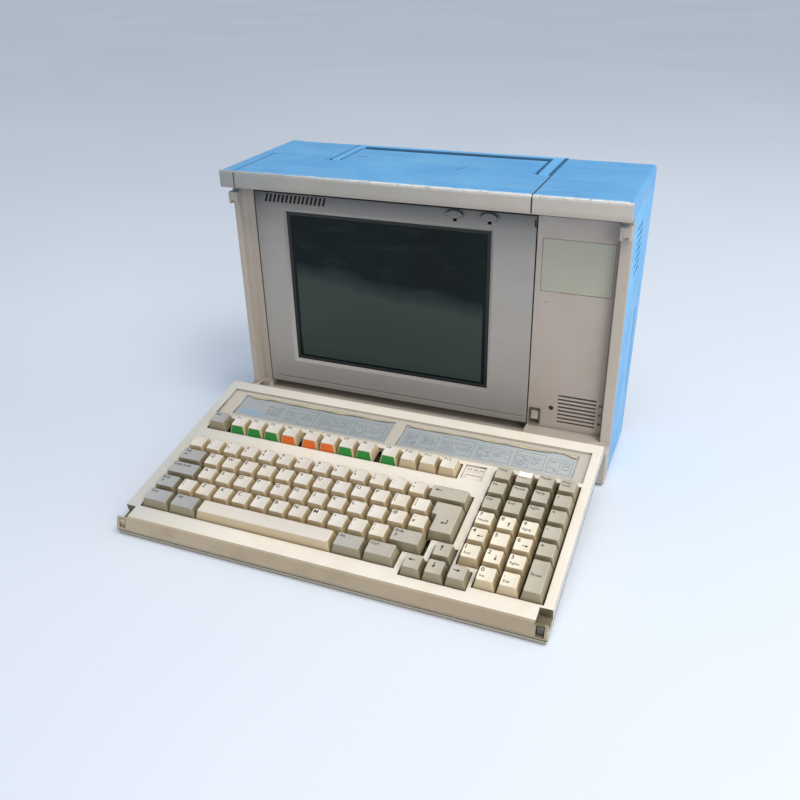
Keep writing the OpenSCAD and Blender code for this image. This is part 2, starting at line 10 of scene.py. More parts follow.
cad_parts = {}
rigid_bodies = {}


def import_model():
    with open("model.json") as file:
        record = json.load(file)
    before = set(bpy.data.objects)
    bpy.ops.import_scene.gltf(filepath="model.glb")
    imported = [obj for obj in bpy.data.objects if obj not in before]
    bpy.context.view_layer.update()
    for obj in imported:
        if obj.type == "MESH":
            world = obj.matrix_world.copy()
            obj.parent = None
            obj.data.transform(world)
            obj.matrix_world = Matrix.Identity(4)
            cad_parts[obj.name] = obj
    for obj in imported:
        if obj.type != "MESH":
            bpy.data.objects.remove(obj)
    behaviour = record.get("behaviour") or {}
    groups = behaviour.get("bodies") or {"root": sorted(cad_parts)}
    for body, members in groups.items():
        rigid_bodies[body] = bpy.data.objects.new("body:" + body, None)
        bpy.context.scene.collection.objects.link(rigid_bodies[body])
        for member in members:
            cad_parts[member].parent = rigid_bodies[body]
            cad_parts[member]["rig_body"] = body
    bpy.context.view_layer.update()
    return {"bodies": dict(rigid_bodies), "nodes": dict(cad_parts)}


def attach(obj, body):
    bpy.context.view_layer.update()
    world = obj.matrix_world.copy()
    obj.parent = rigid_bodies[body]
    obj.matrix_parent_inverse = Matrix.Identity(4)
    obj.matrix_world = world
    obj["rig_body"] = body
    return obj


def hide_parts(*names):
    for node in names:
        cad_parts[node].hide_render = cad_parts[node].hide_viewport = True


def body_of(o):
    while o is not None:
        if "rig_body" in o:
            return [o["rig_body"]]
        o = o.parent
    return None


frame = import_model()
NODES = frame["nodes"]

# ------------------------------------------------------------ places
OY = 59.4
AX_S, AX_H, HINGE_Y, HINGE_Z = 224.4, -5.0, -25.0, 35.0
TILT = math.asin(HINGE_Z / math.hypot(AX_S, AX_H)) + math.atan(-AX_H / AX_S)
CT, ST = math.cos(TILT), math.sin(TILT)
KY0 = HINGE_Y - AX_S * CT + AX_H * ST
KZ0 = HINGE_Z - AX_S * ST - AX_H * CT
REAR_Y0, FOOT_H = 89.4, 3.0
LEAN = math.atan(37.6 / 274.0)


def T(x, y, z):
    return Vector((x, y + OY, z)) * 0.001


def K(x, s, h):
    return Vector((x, OY + KY0 + s * CT - h * ST, KZ0 + s * ST + h * CT)) * 0.001


def R(x, y, z):
    """Rear panel: x, distance out of it, height along it."""
    c, s = math.cos(LEAN), math.sin(LEAN)
    return Vector((x, OY + REAR_Y0 + y * c + z * s, FOOT_H - y * s + z * c)) * 0.001


def noise01(i, j=0):
    v = math.sin(i * 12.9898 + j * 78.233 + 4.1) * 43758.5453
    return v - math.floor(v)


# ------------------------------------------------------------ camera
AZ, EL, ROLL = math.radians(22.8087), math.radians(28.3180), math.radians(-1.3597)
fwd = Vector((-math.sin(AZ) * math.cos(EL), math.cos(AZ) * math.cos(EL), -math.sin(EL)))
right = fwd.cross(Vector((0, 0, 1))).normalized()
up = right.cross(fwd)
r2 = right * math.cos(ROLL) + up * math.sin(ROLL)
u2 = -right * math.sin(ROLL) + up * math.cos(ROLL)
cam_data = bpy.data.cameras.new("camera")
cam_data.sensor_width = 36.0
cam_data.lens = 847.34 / 800.0 * 36.0
cam_data.clip_start = 0.02
cam_data.clip_end = 60.0
cam = bpy.data.objects.new("camera", cam_data)
bpy.context.scene.collection.objects.link(cam)
cam.matrix_world = Matrix((
    (r2.x, u2.x, -fwd.x, 0.28255),
    (r2.y, u2.y, -fwd.y, -0.66219),
    (r2.z, u2.z, -fwd.z, 0.46700),
    (0, 0, 0, 1)))
bpy.context.scene.camera = cam


# ------------------------------------------------------------ materials
def lin(r, g, b):
    def f(c):
        c /= 255.0
        return c / 12.92 if c <= 0.04045 else ((c + 0.055) / 1.055) ** 2.4
    return (f(r), f(g), f(b), 1.0)


class Mat:
    """A node material under construction."""

    def __init__(self, name):
        self.m = bpy.data.materials.new(name)
        self.m.use_nodes = True
        self.nt = self.m.node_tree
        self.nt.nodes.clear()
        self.out = self.nt.nodes.new("ShaderNodeOutputMaterial")
        self.b = self.nt.nodes.new("ShaderNodeBsdfPrincipled")
        self.nt.links.new(self.b.outputs[0], self.out.inputs[0])
        self.tc = self.nt.nodes.new("ShaderNodeTexCoord")

    def link(self, a, b):
        self.nt.links.new(a, b)

    def obj(self):
        return self.tc.outputs["Object"]

    def mapping(self, scale=(1, 1, 1), rot=(0, 0, 0), loc=(0, 0, 0)):
        n = self.nt.nodes.new("ShaderNodeMapping")
        n.inputs["Scale"].default_value = scale
        n.inputs["Rotation"].default_value = rot
        n.inputs["Location"].default_value = loc
        self.link(self.obj(), n.inputs["Vector"])
        return n.outputs[0]

    def noise(self, scale, detail=3.0, rough=0.5, vec=None, dist=0.0):
        n = self.nt.nodes.new("ShaderNodeTexNoise")
        n.inputs["Scale"].default_value = scale
        n.inputs["Detail"].default_value = detail
        n.inputs["Roughness"].default_value = rough
        n.inputs["Distortion"].default_value = dist
        self.link(vec if vec is not None else self.obj(), n.inputs["Vector"])
        return n.outputs["Fac"]

    def voronoi(self, scale, vec=None, feature="F1"):
        n = self.nt.nodes.new("ShaderNodeTexVoronoi")
        n.feature = feature
        n.inputs["Scale"].default_value = scale
        self.link(vec if vec is not None else self.obj(), n.inputs["Vector"])
        return n.outputs["Distance"]

    def ramp(self, fac, lo, hi, a=0.0, b=1.0):
        n = self.nt.nodes.new("ShaderNodeMapRange")
        n.inputs["From Min"].default_value = lo
        n.inputs["From Max"].default_value = hi
        n.inputs["To Min"].default_value = a
        n.inputs["To Max"].default_value = b
        self.link(fac, n.inputs["Value"])
        return n.outputs[0]

    def math(self, op, a, b=None):
        n = self.nt.nodes.new("ShaderNodeMath")
        n.operation = op
        for i, v in enumerate((a, b)):
            if v is None:
                continue
            if isinstance(v, (int, float)):
                n.inputs[i].default_value = v
            else:
                self.link(v, n.inputs[i])
        n.use_clamp = op in ("MULTIPLY", "ADD", "SUBTRACT")
        return n.outputs[0]

    def raw(self, op, a, b=None):
        o = self.math(op, a, b)
        o.node.use_clamp = False
        return o

    def mix(self, fac, a, b):
        n = self.nt.nodes.new("ShaderNodeMix")
        n.data_type = "RGBA"
        for s, v in ((n.inputs[0], fac), (n.inputs[6], a), (n.inputs[7], b)):
            if isinstance(v, (int, float)):
                s.default_value = v
            elif isinstance(v, tuple):
                s.default_value = v
            else:
                self.link(v, s)
        return n.outputs[2]

    def xyz(self, vec=None):
        n = self.nt.nodes.new("ShaderNodeSeparateXYZ")
        self.link(vec if vec is not None else self.obj(), n.inputs[0])
        return n.outputs

    def bump(self, height, strength, distance, prev=None):
        n = self.nt.nodes.new("ShaderNodeBump")
        n.inputs["Strength"].default_value = strength
        n.inputs["Distance"].default_value = distance
        self.link(height, n.inputs["Height"])
        if prev is not None:
            self.link(prev, n.inputs["Normal"])
        return n.outputs[0]

    def ao(self, dist, samples=6):
        n = self.nt.nodes.new("ShaderNodeAmbientOcclusion")
        n.samples = samples
        n.inputs["Distance"].default_value = dist
        return n.outputs["AO"]

    def attr(self, name):
        n = self.nt.nodes.new("ShaderNodeAttribute")
        n.attribute_name = name
        return n.outputs["Fac"]

    def color(self, v):
        self.link(v, self.b.inputs["Base Color"])

    def rough(self, v):
        if isinstance(v, (int, float)):
            self.b.inputs["Roughness"].default_value = v
        else:
            self.link(v, self.b.inputs["Roughness"])

    def normal(self, v):
        self.link(v, self.b.inputs["Normal"])


def shade(c, k):
    return (min(c[0] * k, 1.0), min(c[1] * k, 1.0), min(c[2] * k, 1.0), 1.0)


def blend(c, d, k):
    return tuple(c[i] * (1 - k) + d[i] * k for i in range(3)) + (1.0,)


def plastic(name, col, rough=0.46, grain=0.12, size=1500.0, vary=0.05, stain=None,
            stain_amt=0.35, crevice_dirt_and_shade=None, crevice_amt=0.5, crevice_dist=0.006,
            tone=False, scratches=0.0, spec=0.45, along=None):
    """Moulded plastic: fine grain, uneven ageing, hairline scratches, and dirt with painted shade in its corners.
    along is a range of x and the colour the part reaches at its far end: a painted gradient of light and shade across
    it."""
    m = Mat(name)
    wide = m.noise(7.0, 4.0, 0.55)
    c = m.mix(m.ramp(wide, 0.3, 0.7), shade(col, 1 - vary), shade(col, 1 + vary))
    # painted light and shade: the colour shifts across x towards along[2]
    if along:
        c = m.mix(m.ramp(m.xyz()[0], along[0], along[1]), c, along[2])
    blot = m.noise(38.0, 6.0, 0.62, dist=0.4)
    if stain:
        c = m.mix(m.ramp(blot, 0.45, 0.72, 0.0, stain_amt), c, stain)
    speck = m.noise(900.0, 2.0, 0.5)
    c = m.mix(m.ramp(speck, 0.64, 0.74, 0.0, 0.10), c, shade(col, 0.45))
    # tone: a random tint per key top, and yellowing with painted shade on the key sides
    if tone:
        c = m.mix(m.attr("tone"), c, stain or shade(col, 0.9))
    lines = None
    if scratches:
        fine = m.noise(1.0, 2.0, 0.5, vec=m.mapping((900, 26, 320), (0.3, 0.2, 0.5)))
        fine2 = m.noise(1.0, 2.0, 0.5, vec=m.mapping((30, 1100, 400), (0.1, 0.5, -0.4)))
        lines = m.math("ADD", m.ramp(fine, 0.70, 0.76), m.ramp(fine2, 0.71, 0.77))
        c = m.mix(m.math("MULTIPLY", lines, scratches), c, blend(col, (1, 1, 1, 1), 0.5))
    # dirt tint and painted shade: darkens corners and gaps where ambient occlusion is low
    if crevice_dirt_and_shade:
        a = m.ramp(m.ao(crevice_dist), 0.25, 0.9, crevice_amt, 0.0)
        c = m.mix(a, c, crevice_dirt_and_shade)
    m.color(c)
    r = m.ramp(blot, 0.3, 0.7, rough - 0.07, rough + 0.08)
    if lines is not None:
        r = m.math("ADD", r, m.math("MULTIPLY", lines, 0.12))
    m.rough(r)
    g = m.noise(size, 3.0, 0.6)
    n = m.bump(g, grain, 0.0004)
    n = m.bump(wide, 0.05, 0.004, n)
    m.normal(n)
    m.b.inputs["Specular IOR Level"].default_value = spec
    return m.m


def metal(name, col, rough=0.35, brushed=None, spots=0.2):
    m = Mat(name)
    m.b.inputs["Metallic"].default_value = 1.0
    vec = m.mapping(brushed) if brushed else None
    n = m.noise(1.0 if brushed else 420.0, 4.0, 0.6, vec=vec)
    blot = m.noise(55.0, 5.0, 0.6)
    c = m.mix(m.ramp(n, 0.3, 0.7), shade(col, 0.86), shade(col, 1.08))
    c = m.mix(m.ramp(blot, 0.55, 0.75, 0.0, spots), c, lin(120, 104, 84))
    m.color(c)
    m.rough(m.ramp(n, 0.3, 0.7, rough - 0.08, rough + 0.12))
    m.normal(m.bump(n, 0.12, 0.0002))
    return m.m


# the beige front mouldings, the blue shells, the creams of the keyboard
BEIGE = lin(182, 173, 163)
BLUE = lin(84, 160, 218)
CREAM = lin(230, 223, 212)
WHITE = lin(217, 212, 205)
GREY = lin(176, 170, 154)
OLIVE = lin(96, 84, 58)


def case_plastic(name, col, stain, wear=0.0, scratches=0.25, fade=None, rough=0.42, deep=0.0, streaks=None, paler=None, low=0.0):
    """Case mouldings. wear lightens the front edge of the visor, where the case is carried and set down. deep paints
    the shadow under the visor, low paints shade towards the bottom, paler paints light towards the right, and corners
    get dirt with painted shade.
    """
    m = Mat(name)
    x, y, z = m.xyz()
    wide = m.noise(6.0, 5.0, 0.55)
    blot = m.noise(30.0, 7.0, 0.65, dist=0.6)
    c = m.mix(m.ramp(wide, 0.3, 0.7), shade(col, 0.94), shade(col, 1.05))
    c = m.mix(m.ramp(blot, 0.48, 0.76, 0.0, 0.30), c, stain)
    if fade:
        c = m.mix(m.ramp(m.noise(11.0, 3.0, 0.5, dist=1.0), 0.42, 0.68, 0.0, 0.45), c, fade)
    # painted shade: darker towards the bottom of the part
    if low:
        c = m.mix(m.ramp(z, 0.03, 0.20, low, 0.0), c, shade(col, 0.62))
    # painted light: paler towards the right; painted cool shade on the left end; darker in the stain colour towards the
    # lower edge
    if paler:
        c = m.mix(m.ramp(x, -0.06, 0.19, 0.0, 0.62), c, paler)
        c = m.mix(m.ramp(x, -0.198, -0.11, 0.55, 0.0), c, lin(132, 146, 152))
        c = m.mix(m.ramp(z, 0.2605, 0.2665, 0.40, 0.0), c, stain)
    if streaks:
        band1 = m.noise(1.0, 4.0, 0.6, vec=m.mapping((6, 150, 6), (0.0, 0.05, 0.0)))
        band2 = m.noise(1.0, 3.0, 0.6, vec=m.mapping((14, 420, 14), (0.0, -0.08, 0.06)))
        c = m.mix(m.ramp(band1, 0.44, 0.66, 0.0, 0.42), c, streaks)
        c = m.mix(m.ramp(band2, 0.52, 0.70, 0.0, 0.35), c, shade(col, 0.80))
        c = m.mix(m.ramp(m.noise(75.0, 6.0, 0.7, dist=0.5), 0.56, 0.72, 0.0, 0.30), c, blend(col, lin(150, 160, 160), 0.5))
    fine = m.noise(1.0, 2.0, 0.5, vec=m.mapping((40, 1300, 500), (0.1, 0.3, 0.25)))
    fine2 = m.noise(1.0, 2.0, 0.5, vec=m.mapping((1200, 34, 420), (0.2, 0.1, -0.35)))
    lines = m.math("ADD", m.ramp(fine, 0.71, 0.77), m.ramp(fine2, 0.72, 0.78))
    rare = m.ramp(m.noise(18.0, 2.0, 0.5), 0.5, 0.64)
    lines = m.math("MULTIPLY", lines, rare)
    c = m.mix(m.math("MULTIPLY", lines, scratches), c, blend(col, (1, 1, 1, 1), 0.55))
    speck = m.noise(700.0, 2.0, 0.5)
    c = m.mix(m.ramp(speck, 0.66, 0.75, 0.0, 0.10), c, shade(col, 0.4))
    rr = m.ramp(blot, 0.3, 0.7, rough - 0.08, rough + 0.10)
    if wear:
        # bright worn line along the front upper edge of the visor
        edge_z = m.ramp(z, 0.2738, 0.2768)
        edge_y = m.ramp(y, OY * 0.001 - 0.0180, OY * 0.001 - 0.0150, 1.0, 0.0)
        band = m.math("MULTIPLY", edge_z, edge_y)
        chips = m.noise(160.0, 5.0, 0.7, dist=0.8)
        band = m.math("MULTIPLY", band, m.ramp(chips, 0.34, 0.5))
        band = m.math("MULTIPLY", band, m.ramp(x, -0.13, -0.03, 0.22, 1.0))
        c = m.mix(m.math("MULTIPLY", band, wear), c, lin(228, 230, 226))
    # dirt tint and painted shade: darkens corners and gaps where ambient occlusion is low
    grime_and_shade = m.ramp(m.ao(0.008), 0.2, 0.85, 0.45, 0.0)
    c = m.mix(grime_and_shade, c, shade(blend(col, OLIVE, 0.6), 0.55))
    # painted shadow under the visor: darker where long-range occlusion is low and towards the top, with an extra dark
    # band just below the visor
    if deep:
        under = m.math("MULTIPLY", m.ramp(m.ao(0.050), 0.48, 1.0, deep, 0.0), m.ramp(z, 0.10, 0.22, 0.25, 1.0))
        c = m.mix(under, c, shade(blend(col, lin(90, 92, 84), 0.5), 0.20))
        if deep > 0.9:
            c = m.mix(m.ramp(z, 0.234, 0.251, 0.0, 0.30), c, shade(col, 0.22))
    m.color(c)
    m.rough(rr)
    g = m.noise(1300.0, 3.0, 0.62)
    n = m.bump(g, 0.13, 0.0004)
    n = m.bump(wide, 0.06, 0.004, n)
    m.normal(n)
    m.b.inputs["Specular IOR Level"].default_value = 0.4
    return m.m


MAT = {}
MAT["beige"] = case_plastic("beige_case", BEIGE, lin(170, 156, 130))
# the visor front carries painted light towards the right and painted cool shade on its left end
MAT["visor"] = case_plastic("visor_front", lin(166, 163, 158), lin(144, 134, 118), wear=0.9, scratches=0.5, paler=lin(206, 197, 186))
# deep paints the visor's shadow: slight on the control panel, strong on the bezel
MAT["panel"] = case_plastic("control_panel_finish", lin(188, 177, 169), lin(172, 156, 136), scratches=0.15, deep=0.10)
MAT["bezel"] = case_plastic("bezel_finish", lin(174, 170, 166), lin(158, 150, 136), scratches=0.15, deep=1.0)
MAT["blue"] = case_plastic("blue_shell", BLUE, lin(66, 138, 196), wear=0.75, scratches=0.35, fade=lin(112, 184, 232), rough=0.36, streaks=lin(122, 178, 216))
# painted light: the side cover is a lighter copy of the blue, and low paints shade towards its bottom
MAT["blue_side"] = case_plastic("blue_side_painted_lighter_shell", lin(84, 172, 232), lin(60, 138, 200), scratches=0.4, fade=lin(112, 202, 250), rough=0.34, streaks=lin(96, 196, 250), low=0.42)
# painted shade: greyer and darker at the left end, the full cream from x = -0.08 on
MAT["cream"] = plastic("keyboard_cream_finish", lin(194, 195, 192), 0.48, 0.14, 1300, 0.03, lin(214, 196, 158), 0.30,
                       shade(OLIVE, 0.9), 0.62, 0.007, scratches=0.18, along=(-0.20, -0.08, CREAM))
# painted shade: the right side of the keyboard is a darker, bluish copy of the cream
MAT["cream_side"] = plastic("keyboard_side_painted_shade", lin(200, 200, 197), 0.5, 0.14, 1300, 0.03, lin(188, 180, 158), 0.30,
                            shade(OLIVE, 0.9), 0.62, 0.007, scratches=0.18)
MAT["pan"] = plastic("keyboard_pan_finish", lin(186, 174, 152), 0.52, 0.16, 1200, 0.04, lin(184, 166, 130), 0.35,
                     shade(OLIVE, 0.8), 0.5, 0.006, scratches=0.15)
MAT["cream_soft"] = plastic("keyboard_cream_corner", shade(CREAM, 0.86), 0.48, 0.14, 1300, 0.03, lin(206, 188, 150), 0.30)
# front faces: darker and browner from handling dirt and painted shade, and darker still towards the right as painted
# shade
MAT["cream_front"] = plastic("keyboard_front_dirt_and_shade", lin(177, 162, 140), 0.50, 0.14, 1300, 0.04, lin(146, 132, 106), 0.42,
                             shade(OLIVE, 0.8), 0.6, 0.007, scratches=0.2,
                             along=(-0.15, 0.17, lin(162, 147, 124)))
# painted shade: the recessed rear of the deck is a darker copy of the cream
MAT["recess"] = plastic("legend_recess_painted_shade", lin(192, 185, 175), 0.5, 0.14, 1300, 0.03, lin(200, 188, 160), 0.2,
                        shade(OLIVE, 0.9), 0.5, 0.006)
# painted light: the white keys get lighter and warmer towards the right
MAT["key_white"] = plastic("key_white_finish", WHITE, 0.40, 0.10, 1700, 0.03, lin(202, 183, 148), 0.20,
                           lin(146, 126, 90), 0.78, 0.010, tone=True, spec=0.5, along=(0.0, 0.13, lin(236, 229, 212)))
# painted light: the grey keys get lighter and warmer towards the right
MAT["key_grey"] = plastic("key_grey_finish", lin(168, 170, 172), 0.42, 0.10, 1700, 0.03, lin(149, 139, 112), 0.22,
                          lin(96, 86, 66), 0.75, 0.010, tone=True, spec=0.5, along=(-0.03, 0.09, lin(190, 182, 167)))
MAT["green"] = plastic("green_front_print", lin(36, 140, 58), 0.5, 0.08, 1500, 0.06, lin(40, 110, 50), 0.3)
MAT["orange"] = plastic("orange_front_print", lin(232, 112, 38), 0.5, 0.08, 1500, 0.06, lin(200, 100, 50), 0.3)
MAT["ink"] = plastic("legend_ink", lin(38, 40, 46), 0.55, 0.05, 2000, 0.08)
MAT["black"] = plastic("black_plastic", lin(26, 26, 27), 0.42, 0.16, 1300, 0.10, lin(58, 56, 50), 0.25, scratches=0.2)
MAT["rubber"] = plastic("rubber_finish", lin(22, 22, 22), 0.78, 0.30, 700, 0.12, lin(60, 58, 54), 0.4)
MAT["gasket"] = plastic("screen_gasket_finish", lin(30, 37, 37), 0.5, 0.08, 900, 0.1)
MAT["steel"] = metal("zinc_steel", lin(176, 178, 180), 0.34, (1800, 40, 40), 0.15)
MAT["pin"] = metal("bright_pin", lin(190, 190, 192), 0.22, (60, 900, 900), 0.1)
MAT["alloy"] = metal("cast_alloy_finish", lin(140, 143, 146), 0.5, None, 0.2)
MAT["gold"] = metal("contact_gold", lin(214, 178, 96), 0.28, None, 0.05)
MAT["badge"] = case_plastic("badge_plate_finish", lin(182, 180, 164), lin(166, 164, 144), scratches=0.1, rough=0.34)
MAT["cloth"] = plastic("speaker_cloth", lin(60, 55, 44), 0.9, 0.6, 2600, 0.2, lin(58, 54, 48), 0.4)


def green_board():
    m = Mat("board_finish")
    tracks = m.voronoi(240.0, m.mapping((1, 0.5, 1)))
    c = m.mix(m.ramp(tracks, 0.30, 0.36), lin(24, 96, 58), lin(40, 128, 78))
    c = m.mix(m.ramp(m.noise(300.0, 2.0), 0.66, 0.7), c, lin(178, 182, 176))
    m.color(c)
    m.rough(0.38)
    m.normal(m.bump(tracks, 0.15, 0.0003))
    return m.m


def screen_mat():
    """Dark passive LCD behind polished glass: a faint greenish cell, lighter below a sloping line as a painted
    reflection, with a black border and dust.
    """
    m = Mat("screen_finish")
    x, y, z = m.xyz()
    # distance inside the visible cell, in metres
    dx = m.raw("SUBTRACT", 0.1015, m.raw("ABSOLUTE", m.raw("ADD", x, 0.0388)))
    dz = m.raw("SUBTRACT", 0.0765, m.raw("ABSOLUTE", m.raw("SUBTRACT", z, 0.1499)))
    inside = m.ramp(m.raw("MINIMUM", dx, dz), 0.0, 0.0010)
    cloud = m.noise(9.0, 3.0, 0.5)
    cell = m.mix(m.ramp(cloud, 0.35, 0.65), lin(7, 19, 22), lin(13, 30, 29))
    # painted reflection: below this sloping line the cell is lighter
    painted_reflection_edge = m.raw("ADD", z, m.raw("MULTIPLY", x, 0.10))
    painted_reflection_edge = m.raw("ADD", painted_reflection_edge, m.raw("MULTIPLY", m.noise(14.0, 4.0, 0.55), 0.018))
    cell = m.mix(m.ramp(painted_reflection_edge, 0.154, 0.176), lin(60, 72, 68), cell)
    haze = m.noise(1.0, 5.0, 0.6, vec=m.mapping((34, 34, 90), (0, 0.2, 0)))
    cell = m.mix(m.ramp(haze, 0.5, 0.75, 0.0, 0.25), cell, lin(62, 70, 62))
    c = m.mix(inside, lin(15, 22, 23), cell)
    dust = m.math("MULTIPLY", m.ramp(m.noise(520.0, 4.0, 0.7), 0.62, 0.74), m.ramp(m.noise(14.0, 3.0), 0.4, 0.7, 0.2, 1.0))
    c = m.mix(m.math("MULTIPLY", dust, 0.16), c, lin(150, 150, 142))
    m.color(c)
    smear = m.noise(1.0, 4.0, 0.6, vec=m.mapping((26, 26, 60), (0, 0.6, 0)))
    m.rough(m.ramp(smear, 0.35, 0.7, 0.10, 0.26))
    m.normal(m.bump(m.noise(60.0, 2.0), 0.012, 0.0008))
    m.b.inputs["Specular IOR Level"].default_value = 0.14
    m.b.inputs["Coat Weight"].default_value = 0.03
    m.b.inputs["Coat Roughness"].default_value = 0.06
    return m.m


def card_mat():
    """Printed legend sheet: bluish grey with a faint weave of the paper, and painted light that makes it lighter
    towards the right.
    """
    m = Mat("legend_sheet")
    wide = m.noise(13.0, 4.0, 0.5)
    c = m.mix(m.ramp(wide, 0.3, 0.7), lin(144, 150, 154), lin(166, 170, 171))
    # painted light: lighter towards the right
    c = m.mix(m.ramp(m.xyz()[0], 0.02, 0.16), c, lin(186, 189, 188))
    c = m.mix(m.ramp(m.noise(700.0, 3.0), 0.5, 0.8, 0.0, 0.2), c, lin(210, 214, 214))
    m.color(c)
    m.rough(0.62)
    m.normal(m.bump(m.noise(1600.0, 2.0), 0.12, 0.0002))
    return m.m


def window_mat():
    """Clear slightly milky film over the legend sheets."""
    m = Mat("clear_film")
    c = m.mix(m.ramp(m.noise(60.0, 4.0, 0.6), 0.4, 0.75), lin(196, 208, 216), lin(222, 226, 226))
    m.color(c)
    scr = m.noise(1.0, 3.0, 0.6, vec=m.mapping((50, 900, 900), (0, 0, 0.3)))
    m.rough(m.ramp(scr, 0.3, 0.75, 0.08, 0.30))
    m.b.inputs["Alpha"].default_value = 0.12
    m.b.inputs["Specular IOR Level"].default_value = 0.6
    m.normal(m.bump(m.noise(40.0, 2.0), 0.05, 0.001))
    return m.m


def paper_mat():
    m = Mat("aged_paper")
    c = m.mix(m.ramp(m.noise(90.0, 5.0, 0.6), 0.35, 0.7), lin(206, 194, 164), lin(176, 160, 124))
    m.color(c)
    m.rough(0.75)
    m.normal(m.bump(m.noise(1500.0, 3.0), 0.2, 0.0002))
    return m.m


def lens_mat():
    m = Mat("lamp_lens_finish")
    c = m.mix(m.ramp(m.noise(300.0, 3.0), 0.3, 0.7), lin(26, 34, 22), lin(44, 52, 34))
    m.color(c)
    m.rough(0.18)
    m.normal(m.bump(m.voronoi(900.0), 0.08, 0.0003))
    m.b.inputs["Coat Weight"].default_value = 0.5
    return m.m


MAT["board"] = green_board()
MAT["membrane"] = plastic("membrane_finish", lin(60, 54, 40), 0.6, 0.2, 900, 0.1, lin(84, 74, 52), 0.4)
MAT["notch"] = plastic("notch_shade", lin(112, 104, 82), 0.6, 0.2, 1200, 0.1, lin(80, 72, 50), 0.5, OLIVE, 0.8, 0.01)
MAT["switch"] = plastic("switch_surround", lin(98, 92, 80), 0.5, 0.12, 1300, 0.1, lin(70, 64, 50), 0.4)
MAT["latch"] = plastic("latch_finish", lin(84, 82, 74), 0.45, 0.15, 1300, 0.1, lin(60, 56, 44), 0.4)
MAT["groove"] = plastic("handle_recess_shade", lin(26, 84, 122), 0.6, 0.2, 1200, 0.1, lin(60, 60, 52), 0.5)
MAT["handle"] = case_plastic("handle_shell", lin(96, 172, 228), lin(72, 142, 200), scratches=0.6, rough=0.36, fade=lin(124, 192, 238))
MAT["screen"] = screen_mat()
MAT["card"] = card_mat()
MAT["film"] = window_mat()
MAT["paper"] = paper_mat()
MAT["lens"] = lens_mat()
MAT["ink_grey"] = plastic("faint_print", lin(50, 60, 76), 0.6, 0.05, 2000, 0.1)
MAT["ink_blue"] = plastic("blue_print", lin(116, 166, 206), 0.6, 0.05, 2000, 0.1)
MAT["sticker"] = plastic("white_sticker", lin(246, 246, 244), 0.5, 0.06, 1800, 0.02)
MAT["scuff"] = plastic("scuff_mark", lin(138, 194, 230), 0.6, 0.2, 1500, 0.1)
MAT["scuff_dark"] = plastic("dark_scuff_and_shadow", lin(34, 92, 132), 0.6, 0.2, 1500, 0.1)
MAT["seam"] = plastic("seam_shadow", lin(58, 56, 50), 0.7, 0.1, 1200, 0.15)
MAT["mesh_olive"] = plastic("vent_mesh_olive", lin(78, 78, 62), 0.75, 0.4, 2400, 0.2, lin(52, 52, 40), 0.5)
MAT["mesh_blue"] = plastic("vent_mesh", lin(44, 96, 134), 0.7, 0.4, 2400, 0.2, lin(30, 60, 80), 0.5)
MAT["scuff_brown"] = plastic("brown_rub", lin(72, 104, 120), 0.7, 0.2, 1500, 0.2)
MAT["scuff_white"] = plastic("bare_chip", lin(214, 220, 222), 0.6, 0.2, 1500, 0.1)


# ------------------------------------------------------------ mesh helpers
def add_object(name, bm, body, mats, nodes=(), place=None):
    """A new object from bm, whose points are in mm of the given place (T, K or R), riding on body."""
    if place:
        for v in bm.verts:
            v.co = place(*v.co)
    bmesh.ops.recalc_face_normals(bm, faces=bm.faces)
    me = bpy.data.meshes.new(name)
    bm.to_mesh(me)
    bm.free()
    for mm in (mats if isinstance(mats, (list, tuple)) else [mats]):
        me.materials.append(mm)
    o = bpy.data.objects.new(name, me)
    bpy.context.scene.collection.objects.link(o)
    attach(o, body)
    if nodes:
        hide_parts(*nodes)
    return o


def smooth_by_angle(o, angle=35.0, weighted=True):
    me = o.data
    bm = bmesh.new()
    bm.from_mesh(me)
    for f in bm.faces:
        f.smooth = True
    for e in bm.edges:
        e.smooth = not (len(e.link_faces) != 2 or e.calc_face_angle(0.0) > math.radians(angle))
    bm.to_mesh(me)
    bm.free()
    if weighted:
        w = o.modifiers.new("normals", "WEIGHTED_NORMAL")
        w.keep_sharp = True


